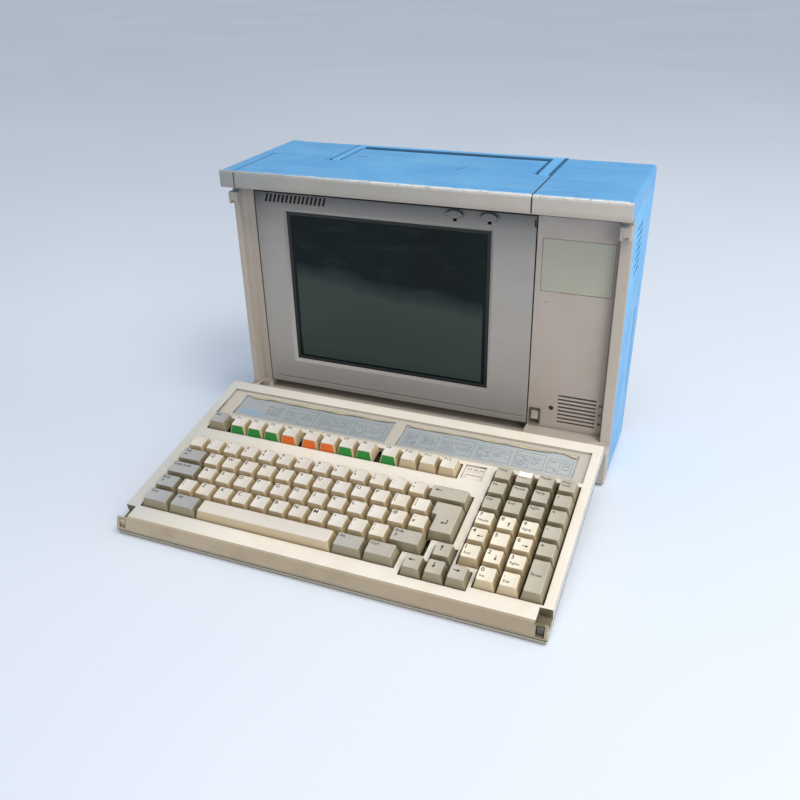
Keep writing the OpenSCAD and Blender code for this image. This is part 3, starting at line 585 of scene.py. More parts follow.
def refine(node, mat, width=0.5, big=None, segments=3, name=None, angle=30.0, extra_mats=(), pick=None, cuts=(), miter="MITER_ARC"):
    """A copy of a CAD node with rounded edges, which stands for it. width is the usual edge radius in mm.
    big(mid, along, length) may return a larger radius for an edge, by its middle point in mm of the row frame."""
    src = NODES[node]
    bm = bmesh.new()
    bm.from_mesh(src.data)
    bmesh.ops.remove_doubles(bm, verts=bm.verts, dist=3e-6)
    bmesh.ops.dissolve_limit(bm, angle_limit=math.radians(0.8), use_dissolve_boundaries=False,
                             verts=bm.verts, edges=bm.edges, delimit=set())
    bmesh.ops.connect_verts_concave(bm, faces=bm.faces[:])
    for x in cuts:
        # split the faces at these places, so that a part of them can take another material
        bmesh.ops.bisect_plane(bm, geom=bm.verts[:] + bm.edges[:] + bm.faces[:], dist=1e-6,
                               plane_co=(x * 0.001, 0, 0), plane_no=(1, 0, 0))
    bm.normal_update()
    lim = math.radians(angle)
    lay = bm.edges.layers.float.new("bevel_weight_edge")
    want = {}
    for e in bm.edges:
        if len(e.link_faces) != 2:
            continue
        a = e.calc_face_angle(0.0)
        if a < lim or not e.is_convex:
            continue
        w = width
        if big:
            mid = (e.verts[0].co + e.verts[1].co) * 500.0
            d = (e.verts[1].co - e.verts[0].co) * 1000.0
            w = big(mid, d, d.length) or width
            if w < 0:
                continue
        room = 1e9
        for f in e.link_faces:
            for v in e.verts:
                for x in f.edges:
                    if x is not e and v in x.verts:
                        room = min(room, x.calc_length() * 1000.0)
        want[e] = min(w, room * 0.36)
    top = max(want.values()) if want else 0.0
    for e, w in want.items():
        e[lay] = w / top
    for f in bm.faces:
        f.smooth = True
        if pick:
            f.material_index = pick(f.calc_center_median() * 1000.0, f.normal)
        else:
            f.material_index = 0
    for e in bm.edges:
        if len(e.link_faces) != 2 or (e not in want and e.calc_face_angle(0.0) > lim):
            e.smooth = False
    me = bpy.data.meshes.new(name or node + "_finish")
    bm.to_mesh(me)
    bm.free()
    me.materials.append(mat)
    for x in extra_mats:
        me.materials.append(x)
    o = bpy.data.objects.new(name or node + "_finish", me)
    bpy.context.scene.collection.objects.link(o)
    if top > 0.0:
        b = o.modifiers.new("rounding", "BEVEL")
        b.limit_method = "WEIGHT"
        b.width = top * 0.001
        b.segments = segments
        b.profile = 0.5
        b.use_clamp_overlap = False
        b.miter_outer = miter
        w = o.modifiers.new("normals", "WEIGHTED_NORMAL")
        w.keep_sharp = True
    body = body_of(src)
    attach(o, body if isinstance(body, str) else list(body)[0])
    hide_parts(node)
    return o


def paint(node, mat, bevel=0.0):
    """A CAD node kept as it is, with a finish and lightly rounded edges."""
    o = NODES[node]
    if not o.data.materials:
        o.data.materials.append(mat)
    for s in o.material_slots:
        s.link = "OBJECT"
        s.material = mat
    if bevel:
        w = o.modifiers.new("weld", "WELD")
        w.merge_threshold = 3e-6
        d = o.modifiers.new("planar", "DECIMATE")
        d.decimate_type = "DISSOLVE"
        d.angle_limit = math.radians(0.8)
        b = o.modifiers.new("rounding", "BEVEL")
        b.limit_method = "ANGLE"
        b.angle_limit = math.radians(32)
        b.width = bevel * 0.001
        b.segments = 2
        n = o.modifiers.new("normals", "WEIGHTED_NORMAL")
        n.keep_sharp = False


def rounded_loop(x0, x1, y0, y1, r, n=4, m=3):
    """Points of a rectangle with round corners, anticlockwise, with m extra points along each side."""
    r = max(min(r, (x1 - x0) / 2 - 0.01, (y1 - y0) / 2 - 0.01), 0.01)
    cs = [(x1 - r, y0 + r, -90), (x1 - r, y1 - r, 0), (x0 + r, y1 - r, 90), (x0 + r, y0 + r, 180)]
    pts = []
    for i, (cx, cy, a0) in enumerate(cs):
        arc = [(cx + r * math.cos(math.radians(a0 + 90.0 * k / n)),
                cy + r * math.sin(math.radians(a0 + 90.0 * k / n))) for k in range(n + 1)]
        pts += arc
        nx_, ny_, na = cs[(i + 1) % 4]
        q = (nx_ + r * math.cos(math.radians(na)), ny_ + r * math.sin(math.radians(na)))
        p = arc[-1]
        for k in range(1, m + 1):
            t = k / (m + 1)
            pts.append((p[0] + (q[0] - p[0]) * t, p[1] + (q[1] - p[1]) * t))
    return pts


def loft(bm, rings, cap_low=True, cap_high=True, mat=0, fan=None):
    """Skins between rings of points. fan closes the last ring on a centre point."""
    rows = [[bm.verts.new(p) for p in ring] for ring in rings]
    n = len(rows[0])
    out = []
    for a, b in zip(rows, rows[1:]):
        for i in range(n):
            j = (i + 1) % n
            out.append(bm.faces.new((a[i], a[j], b[j], b[i])))
    if cap_low:
        out.append(bm.faces.new(list(reversed(rows[0]))))
    if fan is not None:
        c = bm.verts.new(fan)
        for i in range(n):
            out.append(bm.faces.new((rows[-1][i], rows[-1][(i + 1) % n], c)))
    elif cap_high:
        out.append(bm.faces.new(rows[-1]))
    for f in out:
        f.material_index = mat
        f.smooth = True
    return rows


def slab(bm, x0, x1, y0, y1, z0, z1, r=1.0, edge=0.2, n=4, mat=0):
    """A flat plate with round corners and a rounded upper edge."""
    e = min(edge, (z1 - z0) * 0.45)
    k = 0.29 * e
    rings = [[(p[0], p[1], z0) for p in rounded_loop(x0, x1, y0, y1, r, n, 0)],
             [(p[0], p[1], z1 - e) for p in rounded_loop(x0, x1, y0, y1, r, n, 0)],
             [(p[0], p[1], z1 - k) for p in rounded_loop(x0 + k, x1 - k, y0 + k, y1 - k, max(r - k, 0.05), n, 0)],
             [(p[0], p[1], z1) for p in rounded_loop(x0 + e, x1 - e, y0 + e, y1 - e, max(r - e, 0.05), n, 0)]]
    return loft(bm, rings, mat=mat)


def disc(bm, c, axis, r0, r1, rings, n=32, mat=0):
    """Turned solid: rings are (distance along axis, radius)."""
    axis = Vector(axis).normalized()
    a = axis.orthogonal().normalized()
    b = axis.cross(a)
    rows = []
    for d, r in rings:
        rows.append([Vector(c) + axis * d + (a * math.cos(2 * math.pi * i / n) + b * math.sin(2 * math.pi * i / n)) * r
                     for i in range(n)])
    return loft(bm, rows, mat=mat)


# ------------------------------------------------------------ keycaps
PITCH, GAP = 19.05, 0.9
KX, NX, S0 = -182.85, 112.3, 32.1
H_BASE, H_TOP = 15.0, 26.5


def mk(a, b, r, d=1.0):
    return (KX + (a + b) / 2 * PITCH, S0 + (r + (d - 1) / 2) * PITCH, b - a, d)


def nk(c, r, d=1.0):
    return (NX + (c - 0.5) * PITCH, S0 + (r + (d - 1) / 2) * PITCH, 1.0, d)


def arrow_key(i, j):
    return (71.2 + (i + 0.5) * PITCH, 17.6 + (j + 0.5) * PITCH, 1.0, 1.0)


def top_box(key):
    x, s, w, d = key
    bw, bd = w * PITCH - GAP, d * PITCH - GAP
    return (x - bw / 2 + 2.4, x + bw / 2 - 2.4, s - bd / 2 + 3.0, s + bd / 2 - 1.4)


def dish(key, x, s, crown=False):
    """Height of the finger surface."""
    x0, x1, s0, s1 = top_box(key)
    u = (x - (x0 + x1) / 2) / ((x1 - x0) / 2)
    v = (s - (s0 + s1) / 2) / ((s1 - s0) / 2)
    u, v = max(-1, min(1, u)), max(-1, min(1, v))
    if crown:
        return H_TOP - 0.15 - 0.55 * v * v
    deep = 0.65 if (x1 - x0) < 22 else 0.6
    if (x1 - x0) >= 22:
        # wide keys: flat in the middle, raised towards the ends
        u = max(0.0, (abs(u) - 0.45) / 0.55)
    return H_TOP - deep * (1 - u * u)


def cap(bm, key, tone_layer, idx, crown=False, outline=None):
    x, s, w, d = key
    bw, bd = w * PITCH - GAP, d * PITCH - GAP
    m = 5 if w < 2.2 else 15
    x0, x1, s0, s1 = x - bw / 2, x + bw / 2, s - bd / 2, s + bd / 2
    tx0, tx1, ts0, ts1 = top_box(key)

    def level(t, inset=0.0):
        return (x0 + (tx0 - x0) * t + inset, x1 + (tx1 - x1) * t - inset,
                s0 + (ts0 - s0) * t + inset, s1 + (ts1 - s1) * t - inset)

    rings = []
    for h, t, r, inset in ((H_BASE, 0, 0.5, 0.25), (H_BASE + 0.3, 0, 0.5, 0.0), (H_BASE + 1.4, 0, 0.6, 0.0),
                           (H_BASE + 1.8, 0.03, 0.6, 0.0), (H_BASE + 6.0, 0.45, 0.9, 0.06),
                           (H_TOP - 1.1, 0.89, 1.2, 0.0), (H_TOP - 0.55, 0.945, 1.3, 0.0)):
        rings.append([(p[0], p[1], h) for p in rounded_loop(*level(t, inset), r, 4, m)])
    for inset, drop in ((0.04, 0.24), (0.16, 0.08), (0.40, 0.0), (1.0, 0.0)):
        lp = rounded_loop(tx0 + inset, tx1 - inset, ts0 + inset, ts1 - inset, 1.35, 4, m)
        rings.append([(p[0], p[1], dish(key, p[0], p[1], crown) - drop) for p in lp])
    cx, cs = (tx0 + tx1) / 2, (ts0 + ts1) / 2
    for k in (0.78, 0.52, 0.24):
        lp = rounded_loop(tx0 + 1.0, tx1 - 1.0, ts0 + 1.0, ts1 - 1.0, 1.2, 4, m)
        pts = []
        for p in lp:
            px, ps = cx + (p[0] - cx) * k, cs + (p[1] - cs) * k
            pts.append((px, ps, dish(key, px, ps, crown)))
        rings.append(pts)
    before = len(bm.verts)
    loft(bm, rings, fan=(cx, cs, dish(key, cx, cs, crown)))
    bm.verts.ensure_lookup_table()
    t = 0.02 + 0.16 * noise01(idx, before % 97)
    n = len(rings[0])
    for i, v in enumerate(bm.verts[before:]):
        # the sides are yellower and darker than the rubbed tops: partly yellowing, partly painted shade
        v[tone_layer] = 0.92 if i < 6 * n else 0.55 if i < 7 * n else t


def key_piece(name, node, keys, mat, crown=False):
    bm = bmesh.new()
    lay = bm.verts.layers.float.new("tone")
    for i, k in enumerate(keys):
        cap(bm, k, lay, i + len(name), crown)
    o = add_object(name, bm, node if node in frame["bodies"] else NODE_BODY[node], mat, (node,), K)
    smooth_by_angle(o, 40.0, weighted=False)
    return o


NODE_BODY = {}
for n_, o_ in NODES.items():
    b_ = body_of(o_)
    NODE_BODY[n_] = b_ if isinstance(b_, str) else list(b_)[0]

FKEYS = [mk(g + i, g + i + 1, 6) for g in (1.3, 5.5, 9.8) for i in range(4)]
DIGITS = [mk(i, i + 1, 4) for i in range(13)]
UPPER = [mk(i + 1.5, i + 2.5, 3) for i in range(12)]
HOME = [mk(i + 1.75, i + 2.75, 2) for i in range(12)]
LOWER = [mk(i + 1.25, i + 2.25, 1) for i in range(11)]
MODS = [mk(0, 1.1, 6), mk(0, 1.5, 3), mk(0, 1.75, 2), mk(0, 1.25, 1), mk(12.25, 13.85, 1),
        mk(0, 1.5, 0), mk(1.5, 3, 0), mk(10, 11.5, 0), mk(11.5, 13, 0)]
BACK = [mk(13, 15, 4)]
SPACE = [mk(3, 10, 0)]
ARROWS = [arrow_key(0, 0), arrow_key(1, 0), arrow_key(2, 0), arrow_key(1, 1)]
NUMS = [nk(c, r) for r in (3, 2, 1) for c in (1, 2, 3)] + [nk(2, 0), nk(3, 0)]
NAVS = [nk(c, r) for r in (6, 5, 4) for c in (1, 2, 3, 4)] + [nk(4, 3), nk(4, 2)]
NENTER = [nk(4, 0, 2)]

key_piece("caps_function", "keys_function", FKEYS, MAT["key_white"])
key_piece("caps_digits", "keys_digits", DIGITS, MAT["key_white"])
key_piece("caps_upper", "keys_upper", UPPER, MAT["key_white"])
key_piece("caps_home", "keys_home", HOME, MAT["key_white"])
key_piece("caps_lower", "keys_lower", LOWER, MAT["key_white"])
key_piece("caps_modifiers", "keys_modifiers", MODS, MAT["key_grey"])
key_piece("cap_backspace", "key_backspace", BACK, MAT["key_grey"])
key_piece("cap_space", "space_bar", SPACE, MAT["key_white"], crown=True)
key_piece("caps_arrows", "keys_arrows", ARROWS, MAT["key_grey"])
key_piece("caps_numpad", "keys_numpad", NUMS, MAT["key_white"])
key_piece("caps_navigation", "keys_navigation", NAVS, MAT["key_grey"])
key_piece("cap_numpad_enter", "key_numpad_enter", NENTER, MAT["key_grey"])


def enter_cap():
    """The L-shaped enter key: an outline of eight corners, drawn in at each level."""
    g = GAP / 2
    ax, bx_ = KX + 13.5 * PITCH + g, KX + 13.75 * PITCH + g
    cx = KX + 15 * PITCH - g
    s_lo, s_mid, s_hi = S0 + 1.5 * PITCH + g, S0 + 2.5 * PITCH + g, S0 + 3.5 * PITCH - g

    def outline(t, inset, r):
        l, f, b = 2.4 * t + inset, 3.0 * t + inset, 1.4 * t + inset
        pts = [(bx_ + l, s_lo + f, 1), (cx - l, s_lo + f, 1), (cx - l, s_hi - b, 1), (ax + l, s_hi - b, 1),
               (ax + l, s_mid + f, 1), (bx_ + l, s_mid + f, -1)]
        out = []
        n = len(pts)
        for i, (px, py, sgn) in enumerate(pts):
            ax_, ay = pts[i - 1][0] - px, pts[i - 1][1] - py
            bx2, by = pts[(i + 1) % n][0] - px, pts[(i + 1) % n][1] - py
            la, lb = math.hypot(ax_, ay), math.hypot(bx2, by)
            rr = min(r, la / 2.2, lb / 2.2)
            p0 = (px + ax_ / la * rr, py + ay / la * rr)
            p1 = (px + bx2 / lb * rr, py + by / lb * rr)
            for k in range(6):
                u = k / 5.0
                out.append(((1 - u) ** 2 * p0[0] + 2 * u * (1 - u) * px + u * u * p1[0],
                            (1 - u) ** 2 * p0[1] + 2 * u * (1 - u) * py + u * u * p1[1]))
        return out

    bm = bmesh.new()
    lay = bm.verts.layers.float.new("tone")
    rings = []
    for h, t, r, inset in ((H_BASE, 0, 0.5, 0.25), (H_BASE + 0.3, 0, 0.5, 0), (H_BASE + 1.4, 0, 0.6, 0),
                           (H_BASE + 6, 0.45, 0.9, 0.06), (H_TOP - 1.1, 0.89, 1.2, 0.0), (H_TOP - 0.55, 0.945, 1.3, 0.0)):
        rings.append([(p[0], p[1], h) for p in outline(t, inset, r)])
    x_mid, half = (bx_ + cx) / 2 - 1, (cx - ax) / 2 - 2.4

    def top(p):
        u = max(0.0, (abs((p[0] - x_mid) / half) - 0.3) / 0.7)
        return H_TOP - 0.6 * (1 - min(u, 1) ** 2)

    for inset, drop in ((0.04, 0.24), (0.16, 0.08), (0.4, 0.0), (1.6, 0.0), (3.4, 0.0)):
        rings.append([(p[0], p[1], top(p) - drop) for p in outline(1, inset, 1.4)])
    loft(bm, rings)
    bm.verts.ensure_lookup_table()
    n = len(rings[0])
    # the sides are yellower and darker than the top: partly yellowing, partly painted shade
    for i, v in enumerate(bm.verts):
        v[lay] = 0.92 if i < 5 * n else 0.55 if i < 6 * n else 0.08
    o = add_object("cap_enter", bm, NODE_BODY["key_enter"], MAT["key_grey"], ("key_enter",), K)
    smooth_by_angle(o, 40.0, weighted=False)


enter_cap()

# ------------------------------------------------------------ legends
_text_cache = {}


def text_mesh(word):
    """(points, faces, width, height) of a word, 1 unit high, from Blender's own font."""
    if word in _text_cache:
        return _text_cache[word]
    cu = bpy.data.curves.new("word", "FONT")
    cu.body = word
    cu.size = 1.4
    cu.extrude = 0.006
    cu.offset = 0.022
    cu.resolution_u = 3
    cu.space_character = 1.04
    ob = bpy.data.objects.new("word", cu)
    bpy.context.scene.collection.objects.link(ob)
    bpy.context.view_layer.update()
    me = bpy.data.meshes.new_from_object(ob.evaluated_get(bpy.context.evaluated_depsgraph_get()))
    pts = [tuple(v.co) for v in me.vertices]
    faces = [tuple(p.vertices) for p in me.polygons]
    bpy.data.meshes.remove(me)
    bpy.data.objects.remove(ob)
    bpy.data.curves.remove(cu)
    x0 = min(p[0] for p in pts)
    x1 = max(p[0] for p in pts)
    pts = [(p[0] - x0, p[1], p[2]) for p in pts]
    _text_cache[word] = (pts, faces, x1 - x0)
    return _text_cache[word]


def put_word(bm, key, word, dx, ds, size, crown=False, mat=0):
    """A word printed on a key: dx from the left and ds from the rear of its top, size its letter height."""
    x0, x1, s0, s1 = top_box(key)
    pts, faces, w = text_mesh(word)
    room = (x1 - x0) - dx - 0.7
    sx = min(size, room / max(w, 0.01))
    vs = []
    for p in pts:
        px, ps = x0 + dx + p[0] * sx, s1 - ds - size + p[1] * size
        vs.append(bm.verts.new((px, ps, dish(key, px, ps, crown) + 0.03 + p[2] * 3)))
    for f in faces:
        try:
            bm.faces.new([vs[i] for i in f]).material_index = mat
        except ValueError:
            pass


def put_shape(bm, pts, mat=0):
    lo = [bm.verts.new((p[0], p[1], p[2] + 0.01)) for p in pts]
    hi = [bm.verts.new((p[0], p[1], p[2] + 0.06)) for p in pts]
    n = len(pts)
    bm.faces.new(hi).material_index = mat
    bm.faces.new(list(reversed(lo))).material_index = mat
    for i in range(n):
        j = (i + 1) % n
        bm.faces.new((lo[i], lo[j], hi[j], hi[i])).material_index = mat


def put_arrow(bm, key, ang, dx, ds, size, mat=0):
    """A small arrow: shaft and head. ang 0 points right."""
    x0, x1, s0, s1 = top_box(key)
    shape = [(-1.0, -0.13), (0.15, -0.13), (0.15, -0.5), (1.0, 0.0), (0.15, 0.5), (0.15, 0.13), (-1.0, 0.13)]
    c, s = math.cos(math.radians(ang)), math.sin(math.radians(ang))
    cx, cy = x0 + dx + size * 0.6, s1 - ds - size * 0.6
    lo, hi = [], []
    for a, b in shape:
        px, ps = cx + (a * c - b * s) * size * 0.6, cy + (a * s + b * c) * size * 0.6
        z = dish(key, px, ps)
        lo.append(bm.verts.new((px, ps, z + 0.01)))
        hi.append(bm.verts.new((px, ps, z + 0.05)))
    n = len(shape)
    bm.faces.new(hi).material_index = mat
    bm.faces.new(list(reversed(lo))).material_index = mat
    for i in range(n):
        j = (i + 1) % n
        bm.faces.new((lo[i], lo[j], hi[j], hi[i])).material_index = mat


def legends(name, body, fill):
    bm = bmesh.new()
    fill(bm)
    return add_object(name, bm, body, MAT["ink"], (), K)


def row_words(keys, words, size=3.9, dx=1.3, ds=1.0):
    def fill(bm):
        for k, w in zip(keys, words):
            if isinstance(w, tuple):
                put_word(bm, k, w[0], dx, ds, size * 0.76)
                put_word(bm, k, w[1], dx, ds + size * 1.22, size * 0.76)
            elif w:
                put_word(bm, k, w, dx, ds, size)
    return fill


legends("legends_function", NODE_BODY["keys_function"], row_words(FKEYS, ["F%d" % i for i in range(1, 13)], 3.1))
legends("legends_digits", NODE_BODY["keys_digits"], row_words(DIGITS, [("~", "`"), ("!", "1"), ('"', "2"), ("#", "3"),
        ("$", "4"), ("%", "5"), ("^", "6"), ("&", "7"), ("*", "8"), ("(", "9"), (")", "0"), ("_", "-"), ("+", "=")]))
legends("legends_upper", NODE_BODY["keys_upper"], row_words(UPPER, list("QWERTYUIOP") + [("{", "["), ("}", "]")]))
legends("legends_home", NODE_BODY["keys_home"], row_words(HOME, list("ASDFGHJKL") + [(":", ";"), ("@", "'"), ("~", "#")]))
legends("legends_lower", NODE_BODY["keys_lower"], row_words(LOWER, [("|", "\\")] + list("ZXCVBNM") + [("<", ","), (">", "."), ("?", "/")]))


def mod_legends(bm):
    for k, w in zip(MODS, ("Esc", "Tab", "Caps Lock", "Shift", "Shift", "Ctrl", "Alt", "Alt", "Ctrl")):
        put_word(bm, k, w, 1.5, 1.3, 2.9)
    put_arrow(bm, MODS[3], 90, 1.6, 5.6, 3.4)
    put_arrow(bm, MODS[4], 90, 1.6, 5.6, 3.4)
    put_arrow(bm, MODS[1], 0, 1.8, 5.6, 3.4)


legends("legends_modifiers", NODE_BODY["keys_modifiers"], mod_legends)
legends("legends_backspace", NODE_BODY["key_backspace"], lambda bm: put_arrow(bm, BACK[0], 180, 2.8, 1.8, 5.0))


def enter_legend(bm):
    # a bent arrow on the lower half
    k = mk(13.75, 15, 2, 2)
    shape = [(-3.2, -1.0), (-0.9, 0.6), (-0.9, -0.5), (1.7, -0.5), (1.7, 3.4), (2.6, 3.4), (2.6, -1.5), (-0.9, -1.5), (-0.9, -2.6)]
    put_shape(bm, [(k[0] + a, k[1] - 4.0 + b, H_TOP - 0.6) for a, b in shape])


legends("legends_enter", NODE_BODY["key_enter"], enter_legend)


def arrow_legends(bm):
    for k, a in zip(ARROWS, (180, 270, 0, 90)):
        put_arrow(bm, k, a, 2.4, 2.2, 5.0)


legends("legends_arrows", NODE_BODY["keys_arrows"], arrow_legends)


def num_legends(bm):
    for k, w in zip(NUMS, "7894561230."):
        put_word(bm, k, w, 1.4, 1.1, 4.0)
    for i, w in ((0, "Home"), (2, "PgUp"), (6, "End"), (8, "PgDn"), (9, "Ins"), (10, "Del")):
        put_word(bm, NUMS[i], w, 1.9, 8.0, 2.5)
    for i, a in ((1, 90), (3, 180), (5, 0), (7, 270)):
        put_arrow(bm, NUMS[i], a, 6.2, 5.6, 4.4)


legends("legends_numpad", NODE_BODY["keys_numpad"], num_legends)


def nav_legends(bm):
    words = ("Print", "Scroll", "Pause", "Num", "Ins", "Home", "PgUp", "/", "Del", "End", "PgDn", "*", "-", "+")
    for k, w in zip(NAVS, words):
        put_word(bm, k, w, 1.5, 1.4, 2.7 if len(w) > 1 else 3.9)
    put_word(bm, NAVS[1], "Lock", 1.5, 5.2, 2.7)
    put_word(bm, NAVS[3], "Lock", 1.5, 5.2, 2.7)


legends("legends_navigation", NODE_BODY["keys_navigation"], nav_legends)
legends("legends_numpad_enter", NODE_BODY["key_numpad_enter"], lambda bm: put_word(bm, NENTER[0], "Enter", 1.6, 14.0, 2.8))


def front_prints():
    """Coloured fronts of the function keys: thin plates that lie on the sloping front face."""
    bm = bmesh.new()
    for i, k in enumerate(FKEYS[:9]):
        x, s, w, d = k
        bw = w * PITCH - GAP
        s0 = s - (d * PITCH - GAP) / 2
        mat = 0 if i in (0, 1, 2, 6, 7, 8) else 1
        lo, hi = 0.10, 0.90

        def at(u, t, out):
            half = bw / 2 - 2.4 * t - 1.25
            h = H_BASE + 1.5 + (H_TOP - H_BASE - 1.5) * t
            bulge = 0.14 * math.sin(math.pi * min(1, t))
            return (x + half * u, s0 + 3.0 * t + bulge - 0.13 - out, h + out * 0.25)

        cols, rows = 8, 6
        grids = []
        for out in (-0.12, 0.05):
            grids.append([[bm.verts.new(at(-1 + 2 * a / cols, lo + (hi - lo) * b / rows, out)) for a in range(cols + 1)]
                          for b in range(rows + 1)])
        lo_g, hi_g = grids
        fs = []
        for b in range(rows):
            for a in range(cols):
                fs.append(bm.faces.new((hi_g[b][a], hi_g[b][a + 1], hi_g[b + 1][a + 1], hi_g[b + 1][a])))
                fs.append(bm.faces.new((lo_g[b][a], lo_g[b + 1][a], lo_g[b + 1][a + 1], lo_g[b][a + 1])))
        for a in range(cols):
            fs.append(bm.faces.new((lo_g[0][a], lo_g[0][a + 1], hi_g[0][a + 1], hi_g[0][a])))
            fs.append(bm.faces.new((lo_g[rows][a + 1], lo_g[rows][a], hi_g[rows][a], hi_g[rows][a + 1])))
        for b in range(rows):
            fs.append(bm.faces.new((lo_g[b + 1][0], lo_g[b][0], hi_g[b][0], hi_g[b + 1][0])))
            fs.append(bm.faces.new((lo_g[b][cols], lo_g[b + 1][cols], hi_g[b + 1][cols], hi_g[b][cols])))
        for f in fs:
            f.material_index = mat
    o = add_object("function_key_prints", bm, NODE_BODY["keys_function"], [MAT["green"], MAT["orange"]], (), K)
    smooth_by_angle(o, 40.0, weighted=False)


front_prints()

# ------------------------------------------------------------ case shells with rounded edges
def visor_edges(mid, d, length):
    if length > 60 and mid.z > 276.5 and mid.y < OY - 19.0:
        return 2.4
    if length > 60 and mid.z < 261 and mid.y < OY - 19.0:
        return 1.0
    return 0.0


refine("visor_trim", MAT["visor"], 0.35, visor_edges, 4)


def cover_edges(mid, d, length):
    if mid.z > 276.0 and mid.y > OY + 120 and abs(d.x) > 20:
        return 5.0
    if mid.z > 276.0 and abs(mid.x) > 197 and length > 60:
        return 3.5
    if abs(mid.x) > 197 and mid.y > OY + 120 and abs(d.z) > 8:
        return 3.5
    return 0.0


refine("top_cover_left", MAT["blue"], 0.5, cover_edges, 4)
refine("top_cover_right", MAT["blue"], 0.5, cover_edges, 4)
# painted shade: the walls and floor of the handle recess take the dark recess shade
refine("top_cover_middle", MAT["blue"], 0.45, lambda m, d, l: 3.0 if (m.z > 276.5 and m.y > OY + 126 and abs(d.x) > 20) else 0.0, 4,
       extra_mats=(MAT["groove"],),
       pick=lambda c, n: 1 if (263.5 < c.z < 276.6 and OY + 50 < c.y and -114.5 < c.x < 111 and (n.z > 0.5 or abs(n.x) > 0.7 or abs(n.y) > 0.7)
                               and c.y < OY + 129) else 0)
# painted shadow: the front face of the grip takes the dark recess shade
refine("carry_handle", MAT["handle"], 0.6, lambda m, d, l: -1.0 if (m.y > OY + 114 and (m.x < -112.5 or m.x > 109.0)) else 0.0, 3, miter="MITER_SHARP", angle=40.0, extra_mats=(MAT["groove"],),
       pick=lambda c, n: 1 if (n.y < -0.25 and c.y > OY + 110) else 0)


def side_edges(mid, d, length):
    if abs(mid.x) > 197 and length > 150 and mid.y > OY + 60:
        return 2.2
    return 0.0


refine("side_cover_left", MAT["blue_side"], 0.4, side_edges, 4)
refine("side_cover_right", MAT["blue_side"], 0.4, side_edges, 4)


def frame_edges(mid, d, length):
    if mid.y < OY - 19 and 36 < mid.z < 38 and length > 60:
        return 1.6
    if mid.y < OY + 1 and length > 150 and abs(d.z) > 100:
        return 1.0
    return 0.0


refine("front_frame", MAT["beige"], 0.4, frame_edges, 3)
refine("base_pan", MAT["beige"], 0.8)
paint("rear_panel", MAT["steel"])
refine("control_panel", MAT["panel"], 0.35)
refine("badge_plate", MAT["badge"], 0.25)
refine("switch_frame", MAT["switch"], 0.35)
refine("power_rocker", MAT["beige"], 0.4)
refine("keyboard_catches", MAT["beige"], 0.5)
refine("eject_button", MAT["beige"], 0.5)


def bezel_edges(mid, d, length):
    if mid.y < OY + 11.3 and length > 120 and 60 < mid.z < 240 and -155 < mid.x < 80:
        return 0.9
    if mid.y < OY + 11.3 and length > 120:
        return 0.7
    return 0.0


refine("display_bezel", MAT["bezel"], 0.3, bezel_edges, 3)
refine("display_latch_left", MAT["bezel"], 0.3, miter="MITER_SHARP")
refine("display_latch_right", MAT["bezel"], 0.3, miter="MITER_SHARP")
refine("display_back", MAT["beige"], 0.4, segments=2)


def kshell_edges(mid, d, length):
    y0 = K(0, 7.4, 18.5).y * 1000
    if abs(d.x) > 200 and mid.y < y0 + 6:
        return 1.8
    if abs(mid.x) > 196.5 and length > 60:
        return 1.5
    if abs(d.x) > 200 and mid.y > K(0, 214, 10).y * 1000:
        return 1.2
    return 0.0


def kshell_pick(c, n):
    # the recessed rear part is the second material, its painted shade
    s = ((c.y - OY - KY0) * CT + (c.z - KZ0) * ST)
    h = (-(c.y - OY - KY0) * ST + (c.z - KZ0) * CT)
    # notch faces take the painted notch shade
    if abs(c.x) > 186.9 and 5.9 < s < 20.1 and 9.1 < h < 18.3 and not abs(c.x) > 197.3:
        return 2
    if 188.1 < abs(c.x) < 194.7 and 0.9 < s < 9.8 and 7.7 < h < 15.9:
        return 2 if c.x > 0 else 4
    # the lip above the right slot takes the painted notch shade too
    if 186.6 < c.x < 194.7 and s < 7.6 and h > 15.6:
        return 2
    # the right side takes the painted side shade
    if c.x > 196.4 and n.x > 0.8:
        return 5
    # the front face takes the darker front finish: dirt and painted shade
    if s < 9 and 5.4 < h < 18.4 and n.y < -0.2 and abs(n.x) < 0.5:
        return 4
    return 1 if (s > 160.5 and h < 16.3 and abs(c.x) < 190 and n.z > 0.5) else 0


refine("keyboard_top_shell", MAT["cream"], 0.45, kshell_edges, 3, extra_mats=(MAT["recess"], MAT["notch"], MAT["cream_soft"], MAT["cream_front"], MAT["cream_side"]), pick=kshell_pick,
       cuts=(186.6, 194.6))
refine("keyboard_pan", MAT["pan"], 0.5, lambda m, d, l: 1.0 if abs(d.x) > 200 else 0.0, 3)
refine("indicator_panel", MAT["cream"], 0.2)
refine("keyboard_latch_left", MAT["cream_front"], 0.9)
refine("keyboard_latch_right", MAT["latch"], 1.1)
refine("keyboard_feet", MAT["rubber"], 0.6)
refine("tower_feet", MAT["rubber"], 0.8)
refine("power_inlet", MAT["black"], 0.35)
refine("rear_connectors", MAT["black"], 0.3)

paint("screen_glass", MAT["screen"])
paint("lcd_panel", MAT["gasket"], 0.4)
paint("legend_cards", MAT["card"])
paint("legend_windows", MAT["film"])
paint("keyboard_pcb", MAT["membrane"])
paint("motherboard", MAT["board"], 0.15)
paint("chassis_plate", MAT["steel"])
paint("power_supply", MAT["steel"], 0.5)
paint("hard_disk", MAT["alloy"], 0.8)
paint("floppy_drive", MAT["steel"], 0.4)
paint("fan_housing", MAT["black"], 0.3)
paint("fan_rotor", MAT["black"], 0.2)
paint("speaker", MAT["cloth"])
paint("status_led", MAT["lens"])
paint("keyboard_hinge_pins", MAT["pin"], 0.4)
paint("display_hinge_pins", MAT["pin"], 0.4)
paint("handle_pins", MAT["pin"], 0.4)


